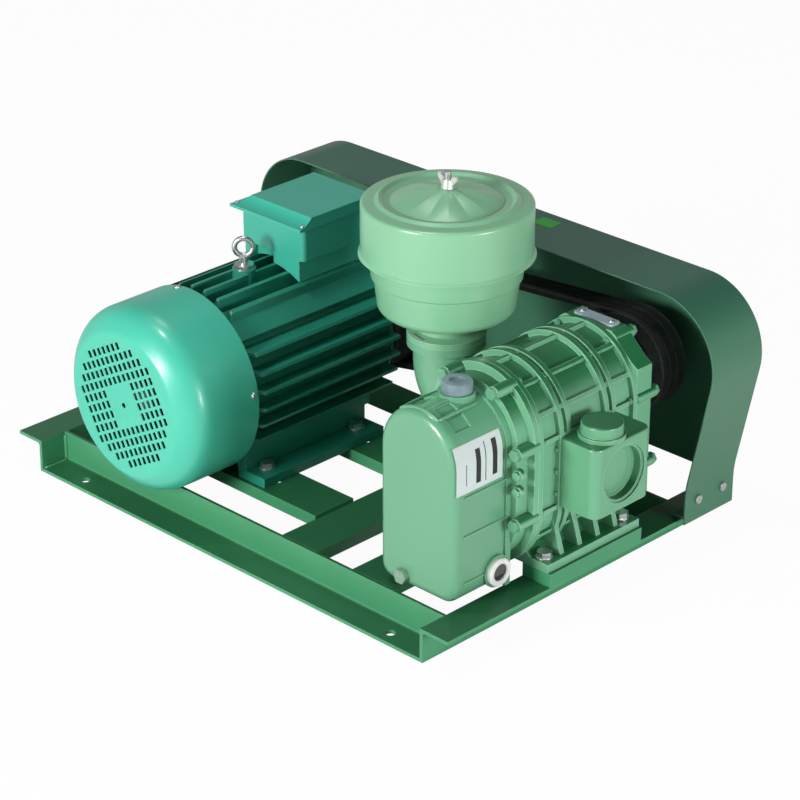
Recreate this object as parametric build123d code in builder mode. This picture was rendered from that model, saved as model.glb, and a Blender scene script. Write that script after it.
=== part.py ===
"""Belt-driven roots blower and vacuum pump set on a welded angle frame.

Millimetres, +Z up. The origin is the centre of the four anchor holes at floor level. The motor stands
on the left (-X), the blower on the right (+X), and both drive ends point to the belt guard (+Y).
"""

from build123d import *

import os
from math import atan2, cos, degrees, hypot, pi, radians, sin, sqrt, tan

os.makedirs("parts", exist_ok=True)

# ---------------------------------------------------------------- driving dimensions
# Base frame, rolled angle with welded cross channels
frame_width = 770.0        # between the webs of the side rails
frame_depth = 545.0
angle_leg = 50.0
angle_wall = 5.0
angle_root_radius = 4.0
anchor_inset_x = 73.0      # anchor hole to the rail's web
anchor_inset_y = 20.0      # anchor hole to the frame's front edge
anchor_hole_radius = 7.0
channel_height = 18.0
channel_wall = 5.0
motor_bar_width = 74.0
motor_bar_rise = 5.0       # top of the motor bars above the side rails
middle_bar_width = 70.0
middle_bar_inset = 459.0   # left edge of the middle bar to the left web
slot_width = 13.0
slot_length = 58.0

# Motor, frame size 132 with feet
shaft_height = 132.0
motor_inset = 214.0        # motor axis to the left rail's web
motor_overhang = 18.0      # fan cowl beyond the front of the frame
motor_length = 435.0       # fan cowl face to the shaft's shoulder
shoulder_to_foot_hole = 89.0
foot_hole_spacing_x = 216.0
foot_hole_spacing_y = 178.0
foot_hole_radius = 6.0
foot_width = 54.0
foot_length = 238.0
foot_thickness = 14.0
cowl_radius = 136.5
cowl_face_radius = 108.0
cowl_shoulder = 46.0       # axial length of the cowl's rounded shoulder
cowl_length = 130.0
cowl_wall = 2.0
grille_radius = 90.0
grille_pitch_u = 11.3
grille_pitch_v = 14.9
grille_slot_u = 6.4
grille_slot_v = 10.4
grille_blank = 60.0        # side of the plain square at the centre
grille_turn = 28.0         # the punched rows are turned on the cowl
motor_core_radius = 112.0
motor_bore_radius = 100.0
fin_radius = 134.0
fin_thickness = 5.0
fin_pitch = 26.5
fin_count = 6
fin_setback = 16.0         # slanted front end of the fins
fin_floor_gap = 1.5        # fins above the feet's underside
corner_pad_width = 50.0
corner_pad_radius = 123.0
corner_pad_angle = 53.0    # pad above the level
shield_thickness = 22.0
shield_rim = 15.0
stator_bore_radius = 68.0
stator_length = 160.0
winding_length = 32.0
air_gap = 0.5
motor_bearing_radius = 45.0
motor_bearing_width = 23.0
motor_journal_radius = 20.0
motor_shaft_radius = 19.0
motor_shaft_length = 80.0
fan_radius = 112.0
fan_blades = 9
fan_width = 46.0
terminal_box_width = 128.0
terminal_box_length = 130.0
terminal_box_top = 201.0   # lid seat above the motor axis
terminal_box_depth = 50.0
terminal_box_inset = 280.0 # box front to the cowl's face
terminal_box_shift = 7.0   # box centre beside the motor axis
terminal_box_wall = 5.0
lid_front_lip = 10.5       # lid beyond the box
lid_left_lip = 12.0
lid_right_lip = 6.0
lid_rear_lip = 10.5
lid_height = 17.0
lid_edge = 4.0             # upright edge of the lid's lip
lid_slope = 22.0           # hollow slopes at the lid's front and left
gland_bore_radius = 8.0
gland_stem_radius = 12.0
gland_body_radius = 14.0
gland_nut_radius = 17.0
gland_nut = 9.0
gland_reach = 23.0         # gland outside the box wall
eye_boss_radius = 17.0
eye_boss_rise = 4.0        # boss above the fins
eye_collar_radius = 14.0
eye_collar = 6.0
eye_ring_radius = 13.0
eye_ring_rise = 31.0       # ring centre above the boss
eye_wire_radius = 4.0
eye_turn = 45.0
eye_inset = 232.0          # lifting eye to the cowl's face

# Blower
blower_inset = 62.0        # blower axis to the right rail's web
foot_bar_height = 20.0
foot_bar_width = 50.0
lower_axis_height = 80.5   # lower rotor axis above the blower's feet
pitch_radius = 51.75       # half the distance between the two rotor axes
rotor_gap = 0.15           # taken off each rotor's flank all round
bore_gap = 0.15
end_gap = 0.3
rotor_length = 195.0
barrel_wall = 15.0
rib_height = 8.0
rib_thickness = 8.0
long_rib_thickness = 6.0
plate_thickness = 30.0
gear_case_depth = 106.0
gear_case_front = 56.0     # gear case face to the front of the frame
gear_case_radius = 68.0
gear_case_wall = 6.0
gear_case_drop = 92.0      # gear case floor below the lower axis
gear_case_corner = 22.0
case_edge_radius = 13.0
case_rib_heights = (63.0, 6.0, -63.0)   # level ribs, from the lower axis
filler_radius = 21.0
filler_setback = 76.0      # oil filler to the gear case face
sight_radius = 20.0
sight_setback = 80.0
sight_drop = 66.0          # sight glass below the lower axis
drain_radius = 7.0
drain_rise = 16.0
plate_seat_width = 80.0
plate_seat_height = 64.0
gear_teeth = 23
gear_width = 34.0
gear_backlash = 0.5
shaft_radius = 17.5
shaft_end_radius = 15.0
bearing_radius = 36.0
bearing_width = 17.0
tie_circle_radius = 86.0
tie_lug_radius = 9.0
tie_bolt_radius = 5.0
tie_depth = 14.0           # plate bolt in the casing
tie_lug_proud = 8.0
port_height = 62.0
port_length = 84.0
box_depth = 62.0           # discharge box, away from the casing
box_length = 112.0
box_height = 102.0
box_wall = 8.0
box_corner = 9.0
port_radius = 37.6
port_recess = 12.0
port_rim_radius = 41.5     # counterbore in front of the port
port_rim_depth = 3.0
blank_radius = 30.0
box_cap_radius = 32.0
box_cap_base = 6.0
box_cap_height = 22.0
box_cap_step = 3.5
box_cap_stem_radius = 24.0
box_cap_setback = 13.0     # cap in front of the box's middle
running_gap = 0.05
seat_gap = 0.3

# Belt drive
motor_pitch_radius = 92.0
blower_pitch_radius = 69.0
groove_pitch = 15.0
groove_count = 3
groove_edge = 10.0
groove_half_angle = 18.0
belt_top = 2.75            # belt above the pitch line
belt_depth = 8.0
belt_width = 13.0
pulley_front = 464.0       # pulley face to the front of the frame
rim_thickness = 10.0

# Intake elbow and filter
elbow_radius = 46.0
elbow_wall = 5.0
elbow_reach = 169.0        # filter axis to the blower axis
elbow_flange_radius = 55.0
elbow_flange_thickness = 12.0
elbow_rise = 98.0          # elbow flange above the casing's centre
neck_radius = 42.0
neck_length = 38.0
filter_radius = 118.0
filter_body_radius = 104.0
filter_floor_radius = 96.0
filter_body_height = 84.0
filter_step_height = 50.0
filter_cover_height = 76.0
filter_wall = 1.5
dome_height = 17.0
element_outer_radius = 80.0
element_inner_radius = 52.0
stud_radius = 5.0
wing_span = 34.0

# Belt guard
guard_front = 457.0        # guard's open edge to the front of the frame
guard_width = 105.0
guard_top = 383.0
guard_left_radius = 92.0
guard_right_radius = 97.0
guard_left_reach = 14.0    # guard beyond the left rail's web
guard_right_reach = 102.0  # guard beyond the right rail's web
guard_leg_reach = 65.0     # straight right leg beyond the right rail's web
guard_neck_angle = 12.0
guard_neck_radius = 150.0
guard_sheet = 2.0
guard_back_floor = 85.0
bracket_height = 46.0
bracket_foot = 30.0
bracket_wall = 4.0
bracket_setback = 12.0     # bracket inside the guard's open edge
bracket_bolt_inset = 14.0
bracket_bolt_drop = 14.0
guard_bolt_radius = 4.0
guard_bolt_head_radius = 7.0
guard_bolt_head = 4.0

# ---------------------------------------------------------------- derived places
frame_front = -frame_depth / 2
left_web = -frame_width / 2
right_web = frame_width / 2
motor_x = left_web + motor_inset
motor_seat_z = angle_leg + motor_bar_rise
motor_z = motor_seat_z + shaft_height
cowl_face = frame_front - motor_overhang
shoulder_y = cowl_face + motor_length
frame_start = cowl_face + cowl_length
frame_end = shoulder_y - shield_thickness
front_hole_y = shoulder_y - shoulder_to_foot_hole
rear_hole_y = front_hole_y - foot_hole_spacing_y
foot_start = (front_hole_y + rear_hole_y - foot_length) / 2

blower_x = right_web - blower_inset
feet_z = angle_leg + foot_bar_height
lower_z = feet_z + lower_axis_height
upper_z = lower_z + 2 * pitch_radius
centre_z = (lower_z + upper_z) / 2
gear_face = frame_front + gear_case_front
plate_y = gear_face + gear_case_depth
barrel_y = plate_y + plate_thickness
barrel_length = rotor_length + 2 * end_gap
rear_plate_y = barrel_y + barrel_length
rear_face = rear_plate_y + plate_thickness
port_y = barrel_y + barrel_length / 2
tip_radius = pitch_radius * 4 / 3
bore_radius = tip_radius + bore_gap
barrel_radius = bore_radius + barrel_wall
rib_radius = barrel_radius + rib_height

filler_y = gear_face + filler_setback
sight_y = gear_face + sight_setback
sight_z = lower_z - sight_drop
drain_z = lower_z - gear_case_drop + drain_rise

pulley_y = frame_front + pulley_front
pulley_width = groove_pitch * (groove_count - 1) + 2 * groove_edge
filter_x = blower_x - elbow_reach
elbow_top = centre_z + elbow_rise
filter_floor = elbow_top + neck_length
filter_seam = filter_floor + filter_body_height
filter_top = filter_seam + filter_cover_height


def save(part, label):
    """Name the piece and write it to its own STEP file."""
    part.label = label
    export_step(part, f"parts/{label}.step")


def across(x, y, z):
    """Plane facing the front at y, with local x along +X and local y along +Z."""
    return Plane(origin=(x, y, z), x_dir=(1, 0, 0), z_dir=(0, -1, 0))


def along(x, z):
    """Plane through an axis along Y, with local x along +Y and local y along +Z."""
    return Plane(origin=(x, 0, z), x_dir=(0, 1, 0), z_dir=(1, 0, 0))


def hex_bolt(place, head_radius, head_height, shank_radius, shank_length):
    """Hex bolt whose head stands on the plane, with its shank behind the plane."""
    with BuildPart() as bolt:
        with BuildSketch(place):
            RegularPolygon(head_radius, 6)
        extrude(amount=head_height)
        with BuildSketch(place):
            Circle(shank_radius)
        extrude(amount=-shank_length)
    return bolt.part


# ---------------------------------------------------------------- base frame
def side_rail(side):
    """Side rail: the web faces inwards and the flange turns outwards at the top."""
    with BuildPart() as rail:
        with BuildSketch(across(side * frame_width / 2, frame_front, angle_leg)):
            with Locations((side * angle_leg / 2, -angle_wall / 2)):
                Rectangle(angle_leg, angle_wall)
            with Locations((side * angle_wall / 2, -angle_leg / 2)):
                Rectangle(angle_wall, angle_leg)
        extrude(amount=-frame_depth)
        root = rail.edges().filter_by(Axis.Y).sort_by_distance(
            (side * (frame_width / 2 + angle_wall), 0, angle_leg - angle_wall))[0]
        fillet(root, angle_root_radius)
    return rail.part


def end_rail(side):
    """End rail: one leg flat on the floor, the other standing on its inner edge."""
    edge = side * frame_depth / 2
    with BuildPart() as rail:
        with BuildSketch(Plane(origin=(left_web, edge, 0), x_dir=(0, 1, 0), z_dir=(1, 0, 0))):
            with Locations((-side * angle_leg / 2, angle_wall / 2)):
                Rectangle(angle_leg, angle_wall)
            with Locations((-side * (angle_leg - angle_wall / 2), angle_leg / 2)):
                Rectangle(angle_wall, angle_leg)
        extrude(amount=frame_width)
        root = rail.edges().filter_by(Axis.X).sort_by_distance(
            (0, edge - side * (angle_leg - angle_wall), angle_wall))[0]
        fillet(root, angle_root_radius)
        with Locations((0, edge - side * anchor_inset_y, angle_wall)):
            with GridLocations(frame_width - 2 * anchor_inset_x, 1, 2, 1):
                Hole(anchor_hole_radius, depth=angle_wall)
    return rail.part


def channel_section(width):
    """Upside-down channel section, its top centre at the sketch's origin."""
    with Locations((0, -channel_height / 2)):
        Rectangle(width, channel_height)
    with Locations((0, -(channel_height + channel_wall) / 2)):
        Rectangle(width - 2 * channel_wall, channel_height - channel_wall, mode=Mode.SUBTRACT)


def long_bar(centre_x, width):
    """Channel from the front rail to the rear rail."""
    inner_front = frame_front + angle_leg
    with BuildPart() as bar:
        with BuildSketch(across(centre_x, inner_front, angle_leg)):
            channel_section(width)
        extrude(amount=-(frame_depth - 2 * angle_leg))
    return bar


middle_bar_x = left_web + middle_bar_inset + middle_bar_width / 2
left_foot_x = 2 * blower_x - right_web - foot_bar_width / 2
right_foot_x = right_web + foot_bar_width / 2
blower_bar_x = left_foot_x + (middle_bar_width - foot_bar_width) / 2

for side, label in ((-1, "rail_left"), (1, "rail_right")):
    save(side_rail(side), label)
for side, label in ((-1, "rail_front"), (1, "rail_rear")):
    save(end_rail(side), label)

for centre_x, label in ((middle_bar_x, "bar_middle"), (blower_bar_x, "bar_blower")):
    bar = long_bar(centre_x, middle_bar_width)
    save(bar.part, label)

# Motor cross bars: slots along X let the motor slide to tension the belts.
motor_bar_length = middle_bar_inset
slot_reach = foot_hole_spacing_x / 2
for hole_y, label in ((rear_hole_y, "motor_bar_rear_feet"), (front_hole_y, "motor_bar_drive_feet")):
    with BuildPart() as bar:
        with BuildSketch(Plane(origin=(left_web, hole_y, motor_seat_z), x_dir=(0, 1, 0), z_dir=(1, 0, 0))):
            channel_section(motor_bar_width)
        extrude(amount=motor_bar_length)
        with BuildSketch(Plane.XY.offset(motor_seat_z)):
            with Locations((motor_x - slot_reach, hole_y), (motor_x + slot_reach, hole_y)):
                SlotOverall(slot_length, slot_width)
        extrude(amount=-channel_wall, mode=Mode.SUBTRACT)
    save(bar.part, label)

# ---------------------------------------------------------------- motor
motor_axis = Axis((motor_x, 0, motor_z), (0, 1, 0))

# Finned frame: upright fins above and below, level fins at the sides, flat pads at the corners. The
# fins' front ends slant back, and the lower ones stop above the motor's seat.
fin_floor = shaft_height - fin_floor_gap
with BuildPart() as motor_frame:
    with BuildSketch(across(motor_x, frame_start, motor_z)):
        with GridLocations(fin_pitch, 1, fin_count, 1):
            Rectangle(fin_thickness, 2 * fin_radius)
        with GridLocations(1, fin_pitch, 1, fin_count):
            Rectangle(2 * fin_radius, fin_thickness)
        Circle(fin_radius, mode=Mode.INTERSECT)
        with Locations((0, -fin_floor)):
            Rectangle(2 * fin_radius, 2 * fin_radius, align=(Align.CENTER, Align.MAX), mode=Mode.SUBTRACT)
        Circle(motor_core_radius)
        for turn in (90 - corner_pad_angle, corner_pad_angle - 90):
            Rectangle(corner_pad_width, 2 * corner_pad_radius, rotation=turn)
        Circle(motor_bore_radius, mode=Mode.SUBTRACT)
    extrude(amount=-(frame_end - frame_start))
    with BuildSketch(along(motor_x, motor_z)):
        with BuildLine():
            Polyline(
                (frame_start - 1, motor_core_radius + 1),
                (frame_start + 2, motor_core_radius + 1),
                (frame_start + fin_setback, fin_radius + 1),
                (frame_start - 1, fin_radius + 1),
                close=True,
            )
        make_face()
    revolve(axis=motor_axis, mode=Mode.SUBTRACT)
    with BuildSketch(Plane.XY.offset(motor_z + motor_core_radius - 4)):
        with Locations((motor_x, cowl_face + eye_inset)):
            Circle(eye_boss_radius)
    extrude(amount=fin_radius - motor_core_radius + 4 + eye_boss_rise)
    # Feet: a long toe each side, joined to the corner pads by two webs.
    for side in (-1, 1):
        toe_x = side * foot_hole_spacing_x / 2
        with BuildSketch(Plane.XY.offset(motor_seat_z)):
            with Locations((motor_x + toe_x, foot_start + foot_length / 2)):
                Rectangle(foot_width, foot_length)
            with Locations((motor_x + toe_x, rear_hole_y), (motor_x + toe_x, front_hole_y)):
                Circle(foot_hole_radius, mode=Mode.SUBTRACT)
        extrude(amount=foot_thickness)
        with BuildSketch(across(motor_x, foot_start, motor_z)):
            with BuildLine():
                Polyline(
                    (toe_x - side * foot_width / 2, foot_thickness - shaft_height),
                    (toe_x - side * 12, foot_thickness - shaft_height),
                    (toe_x - side * 12, -corner_pad_radius * 0.64),
                    (side * motor_core_radius * 0.6, -motor_core_radius * 0.6),
                    close=True,
                )
            make_face()
            Circle(motor_core_radius - 2, mode=Mode.SUBTRACT)
        extrude(amount=-foot_length)
save(motor_frame.part, "motor_frame")

# Drive-end shield: a dished cover with a bearing seat.
with BuildPart() as drive_shield:
    with BuildSketch(along(motor_x, motor_z)):
        with BuildLine():
            Polyline(
                (frame_end, motor_journal_radius + 1),
                (shoulder_y, motor_journal_radius + 1),
                (shoulder_y, motor_bearing_radius + 12),
                (shoulder_y - 6, motor_bearing_radius + 18),
                (shoulder_y - shield_thickness + 8, corner_pad_radius - 12),
                (frame_end, corner_pad_radius - 8),
                close=True,
            )
        make_face()
    revolve(axis=motor_axis)
    with BuildSketch(across(motor_x, frame_end - motor_bearing_width + 14, motor_z)):
        Circle(motor_bearing_radius + 10)
        Circle(motor_bearing_radius, mode=Mode.SUBTRACT)
    extrude(amount=-(motor_bearing_width - 14))
    with BuildSketch(across(motor_x, frame_end, motor_z)):
        Circle(motor_bearing_radius)
    extrude(amount=-14, mode=Mode.SUBTRACT)
save(drive_shield.part, "motor_drive_shield")

# Fan-end shield: its rim carries the fan cowl.
fan_shield_y = frame_start - shield_rim
with BuildPart() as fan_shield:
    with BuildSketch(across(motor_x, fan_shield_y, motor_z)):
        Circle(cowl_radius - cowl_wall - seat_gap)
    extrude(amount=-shield_rim)
    with BuildSketch(across(motor_x, frame_start, motor_z)):
        Circle(motor_bearing_radius + 10)
    extrude(amount=-(motor_bearing_width - shield_rim + 5))
    with BuildSketch(across(motor_x, fan_shield_y + 5, motor_z)):
        Circle(motor_bearing_radius)
    extrude(amount=-motor_bearing_width, mode=Mode.SUBTRACT)
    with BuildSketch(across(motor_x, fan_shield_y, motor_z)):
        Circle(motor_journal_radius + 1)
    extrude(amount=-shield_rim, mode=Mode.SUBTRACT)
save(fan_shield.part, "motor_fan_shield")

# Bearings sit in the two shields and carry the shaft with a running gap.
with BuildPart() as motor_bearings:
    for bearing_y in (fan_shield_y + 5, frame_end - motor_bearing_width + 14):
        with BuildSketch(across(motor_x, bearing_y, motor_z)):
            Circle(motor_bearing_radius)
            Circle(motor_journal_radius + running_gap, mode=Mode.SUBTRACT)
        extrude(amount=-motor_bearing_width)
save(motor_bearings.part, "motor_bearings")

# Fan cowl: a spun cup whose face is punched with slots round a plain square.
with BuildPart() as fan_cowl:
    with BuildSketch(along(motor_x, motor_z)):
        with BuildLine():
            Line((cowl_face, 0), (cowl_face, cowl_face_radius - 6))
            Spline(
                (cowl_face, cowl_face_radius - 6),
                (cowl_face + 4, cowl_face_radius + 4),
                (cowl_face + cowl_shoulder, cowl_radius),
                tangents=[(0, 1), (1, 0)],
            )
            Polyline(
                (cowl_face + cowl_shoulder, cowl_radius),
                (frame_start, cowl_radius),
                (frame_start, cowl_radius - cowl_wall),
                (cowl_face + cowl_shoulder, cowl_radius - cowl_wall),
            )
            Spline(
                (cowl_face + cowl_shoulder, cowl_radius - cowl_wall),
                (cowl_face + 4 + cowl_wall, cowl_face_radius + 4 - cowl_wall),
                (cowl_face + cowl_wall, cowl_face_radius - 6),
                tangents=[(-1, 0), (0, -1)],
            )
            Polyline(
                (cowl_face + cowl_wall, cowl_face_radius - 6),
                (cowl_face + cowl_wall, 0),
                (cowl_face, 0),
            )
        make_face()
    revolve(axis=motor_axis)
    slots = []
    for row in range(-6, 6):
        for column in range(-8, 9):
            u = column * grille_pitch_u
            v = (row + 0.5) * grille_pitch_v
            in_blank = abs(u) < grille_blank / 2 + 1 and abs(v) < grille_blank / 2
            if hypot(u, v) < grille_radius and not in_blank:
                slots.append((u, v))
    grille_row = (cos(radians(grille_turn)), 0, sin(radians(grille_turn)))
    grille_plane = Plane(origin=(motor_x, cowl_face, motor_z), x_dir=grille_row, z_dir=(0, -1, 0))
    with BuildSketch(grille_plane):
        with Locations(*slots):
            Rectangle(grille_slot_u, grille_slot_v)
        Circle(4)
    extrude(amount=-cowl_wall, mode=Mode.SUBTRACT)
save(fan_cowl.part, "fan_cowl")

# Cooling fan: hub, backing disc and straight blades.
fan_y = cowl_face + 34
with BuildPart() as motor_fan:
    with BuildSketch(across(motor_x, fan_y, motor_z)):
        Circle(26)
    extrude(amount=-fan_width)
    with BuildSketch(across(motor_x, fan_y + fan_width - 4, motor_z)):
        Circle(fan_radius - 20)
    extrude(amount=-4)
    with BuildSketch(across(motor_x, fan_y, motor_z)):
        with PolarLocations((fan_radius + 22) / 2, fan_blades):
            Rectangle(fan_radius - 22, 4)
    extrude(amount=-fan_width)
    with BuildSketch(across(motor_x, fan_y, motor_z)):
        Circle(motor_shaft_radius)
    extrude(amount=-fan_width, mode=Mode.SUBTRACT)
save(motor_fan.part, "motor_fan")

# Shaft: journals for the bearings, a wider middle for the rotor core, and the drive end.
fan_journal_y = fan_shield_y + 5 + motor_bearing_width
drive_journal_y = frame_end - motor_bearing_width + 14
with BuildPart() as motor_shaft:
    with BuildSketch(along(motor_x, motor_z)):
        with BuildLine():
            Polyline(
                (fan_y + 2, 0),
                (fan_y + 2, motor_shaft_radius),
                (fan_shield_y + 2, motor_shaft_radius),
                (fan_shield_y + 2, motor_journal_radius),
                (fan_journal_y, motor_journal_radius),
                (fan_journal_y, motor_journal_radius + 4),
                (drive_journal_y, motor_journal_radius + 4),
                (drive_journal_y, motor_journal_radius),
                (shoulder_y, motor_journal_radius),
                (shoulder_y, motor_shaft_radius),
                (shoulder_y + motor_shaft_length - 2, motor_shaft_radius),
                (shoulder_y + motor_shaft_length, motor_shaft_radius - 2),
                (shoulder_y + motor_shaft_length, 0),
                close=True,
            )
        make_face()
    revolve(axis=motor_axis)
save(motor_shaft.part, "motor_shaft")

core_y = (fan_journal_y + drive_journal_y - stator_length) / 2
with BuildPart() as motor_rotor:
    with BuildSketch(across(motor_x, core_y, motor_z)):
        Circle(stator_bore_radius - air_gap)
        Circle(motor_journal_radius + 4, mode=Mode.SUBTRACT)
    extrude(amount=-stator_length)
    for ring_y in (core_y - 10, core_y + stator_length):
        with BuildSketch(across(motor_x, ring_y, motor_z)):
            Circle(stator_bore_radius - 4)
            Circle(stator_bore_radius - 20, mode=Mode.SUBTRACT)
        extrude(amount=-10)
save(motor_rotor.part, "motor_rotor_core")

with BuildPart() as stator:
    with BuildSketch(across(motor_x, core_y, motor_z)):
        Circle(motor_bore_radius)
        Circle(stator_bore_radius, mode=Mode.SUBTRACT)
    extrude(amount=-stator_length)
    for ring_y in (core_y - winding_length, core_y + stator_length):
        with BuildSketch(across(motor_x, ring_y, motor_z)):
            Circle(motor_bore_radius - 8)
            Circle(stator_bore_radius + 3, mode=Mode.SUBTRACT)
        extrude(amount=-winding_length)
save(stator.part, "stator")

# Terminal box on an arched neck. Its lid is flat at the rear right and slopes to the front and left.
box_centre_x = motor_x + terminal_box_shift
box_left = box_centre_x - terminal_box_width / 2
box_front = cowl_face + terminal_box_inset
box_seat_z = motor_z + terminal_box_top
box_floor_z = box_seat_z - terminal_box_depth
gland_z = box_floor_z + terminal_box_depth / 2
gland_y = box_front + terminal_box_length / 2
neck_height = terminal_box_top - terminal_box_depth - fin_radius
neck_root = 40.0           # neck reaches down beside the crown of the fins
neck_set_in = 8.0          # neck inside the box's sides
arch_left = 22.0           # arched cut-out in the neck's front
arch_width = 50.0
arch_depth = 16.0
arch_root = 18.0
with BuildPart() as terminal_box:
    with BuildSketch(Plane.XY.offset(box_floor_z)):
        with Locations((box_centre_x, gland_y)):
            RectangleRounded(terminal_box_width, terminal_box_length, 8)
    extrude(amount=terminal_box_depth)
    with BuildSketch(Plane.XY.offset(box_floor_z + terminal_box_wall)):
        with Locations((box_centre_x, gland_y)):
            RectangleRounded(terminal_box_width - 2 * terminal_box_wall,
                             terminal_box_length - 2 * terminal_box_wall, 5)
    extrude(amount=terminal_box_depth, mode=Mode.SUBTRACT)
    with BuildSketch(across(box_centre_x, box_front, box_floor_z)):
        with Locations((0, -(neck_height + neck_root) / 2)):
            Rectangle(terminal_box_width - 2 * neck_set_in, neck_height + neck_root)
        with Locations((motor_x - box_centre_x, motor_z - box_floor_z)):
            Circle(fin_radius, mode=Mode.SUBTRACT)
    extrude(amount=-(terminal_box_length - neck_set_in))
    with BuildSketch(across(box_centre_x, box_front, box_floor_z)):
        with Locations((-arch_left, -(neck_height + arch_root) / 2)):
            Rectangle(arch_width, neck_height + arch_root)
    extrude(amount=-arch_depth, mode=Mode.SUBTRACT)
    with BuildSketch(Plane(origin=(box_left, gland_y, gland_z), x_dir=(0, 1, 0), z_dir=(1, 0, 0))):
        Circle(gland_stem_radius)
    extrude(amount=terminal_box_wall, mode=Mode.SUBTRACT)
save(terminal_box.part, "terminal_box")

lid_left = box_left - lid_left_lip
lid_right = box_left + terminal_box_width + lid_right_lip
lid_front = box_front - lid_front_lip
lid_rear = box_front + terminal_box_length + lid_rear_lip
with BuildPart() as terminal_lid:
    with BuildSketch(Plane(origin=(lid_left, 0, box_seat_z), x_dir=(0, 1, 0), z_dir=(1, 0, 0))):
        with BuildLine():
            Polyline(
                (lid_front, lid_edge),
                (lid_front, 0),
                (lid_rear, 0),
                (lid_rear, lid_edge),
                (lid_rear - lid_edge, lid_height),
                (lid_front + lid_slope, lid_height),
            )
            ThreePointArc(
                (lid_front + lid_slope, lid_height),
                (lid_front + lid_slope * 0.6, (lid_edge + lid_height) / 2 - 2),
                (lid_front, lid_edge),
            )
        make_face()
    extrude(amount=lid_right - lid_left)
    with BuildSketch(across(0, lid_front, box_seat_z)):
        with BuildLine():
            ThreePointArc(
                (lid_left, lid_edge),
                (lid_left + lid_slope * 0.6, (lid_edge + lid_height) / 2 - 2),
                (lid_left + lid_slope, lid_height),
            )
            Polyline(
                (lid_left + lid_slope, lid_height),
                (lid_left + lid_slope, lid_height + 1),
                (lid_left, lid_height + 1),
                (lid_left, lid_edge),
            )
        make_face()
    extrude(amount=-(lid_rear - lid_front), mode=Mode.SUBTRACT)
save(terminal_lid.part, "terminal_box_lid")

# Cable gland, with the bore open for a cable.
with BuildPart() as cable_gland:
    gland_plane = Plane(origin=(box_left, gland_y, gland_z), x_dir=(0, 1, 0), z_dir=(-1, 0, 0))
    with BuildSketch(gland_plane):
        RegularPolygon(gland_nut_radius, 6)
    extrude(amount=gland_nut)
    with BuildSketch(gland_plane.offset(gland_nut)):
        Circle(gland_body_radius)
    extrude(amount=gland_reach - gland_nut)
    with BuildSketch(gland_plane):
        Circle(gland_stem_radius - seat_gap)
    extrude(amount=-terminal_box_wall)
    with BuildSketch(gland_plane.offset(gland_reach)):
        Circle(gland_bore_radius)
    extrude(amount=-(gland_reach + terminal_box_wall), mode=Mode.SUBTRACT)
    fillet(cable_gland.faces().sort_by(Axis.X)[0].outer_wire().edges(), 3)
save(cable_gland.part, "cable_gland")

# Lifting eye screwed to a cast boss on the crown of the frame; its ring faces the front right.
eye_y = cowl_face + eye_inset
eye_boss_z = motor_z + fin_radius + eye_boss_rise
with BuildPart() as lifting_eye:
    with BuildSketch(Plane.XY.offset(eye_boss_z)):
        with Locations((motor_x, eye_y)):
            Circle(eye_collar_radius)
    extrude(amount=eye_collar)
    with BuildSketch(Plane.XY.offset(eye_boss_z + eye_collar)):
        with Locations((motor_x, eye_y)):
            Circle(eye_collar_radius / 2)
    extrude(amount=eye_ring_rise - eye_ring_radius - eye_collar)
    with Locations((motor_x, eye_y, eye_boss_z + eye_ring_rise)):
        Torus(eye_ring_radius, eye_wire_radius, rotation=(90, eye_turn, 0))
save(lifting_eye.part, "lifting_eye")

# ---------------------------------------------------------------- blower


def lobed_outline(offset):
    """Three-lobed outline: epicycloid lobes and hypocycloid valleys, drawn inwards by the offset.

    A circle a sixth of the pitch radius rolls outside the pitch circle for a lobe and inside it for a
    valley. The outline's normal turns half as fast as the rolling circle.
    """
    rolling = pitch_radius / 6
    span = pi / 3
    steps = 8
    start = pi / 6 - span / 2
    with BuildLine() as outline:
        for arc in range(6):
            outside = 1 if arc % 2 == 0 else -1
            points = []
            for step in range(steps + 1):
                angle = start + arc * span + span * step / steps
                roll = 6 * span * step / steps
                spin = angle + pi + roll if outside > 0 else angle - roll
                normal = angle + outside * (roll / 2 - pi / 2)
                reach = pitch_radius + outside * rolling
                points.append((
                    reach * cos(angle) + rolling * cos(spin) - offset * cos(normal),
                    reach * sin(angle) + rolling * sin(spin) - offset * sin(normal),
                ))
            Spline(*points)
    return outline


def twin_outline(radius, grow=0.0):
    """Stadium round both rotor axes."""
    SlotCenterToCenter(2 * pitch_radius, 2 * (radius + grow), rotation=90)


def tie_points(ring, low=True):
    """Places of the plate bolts round both rotor axes, from the casing's centre.

    The two lowest lie behind the gear case, so they are left out where low is false.
    """
    points = []
    for half in (1, -1):
        for turn in (0, 60, 120, 180):
            if half > 0 or low or turn in (0, 180):
                points.append((
                    ring * cos(radians(turn)),
                    half * (pitch_radius + ring * sin(radians(turn))),
                ))
    return points


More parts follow.
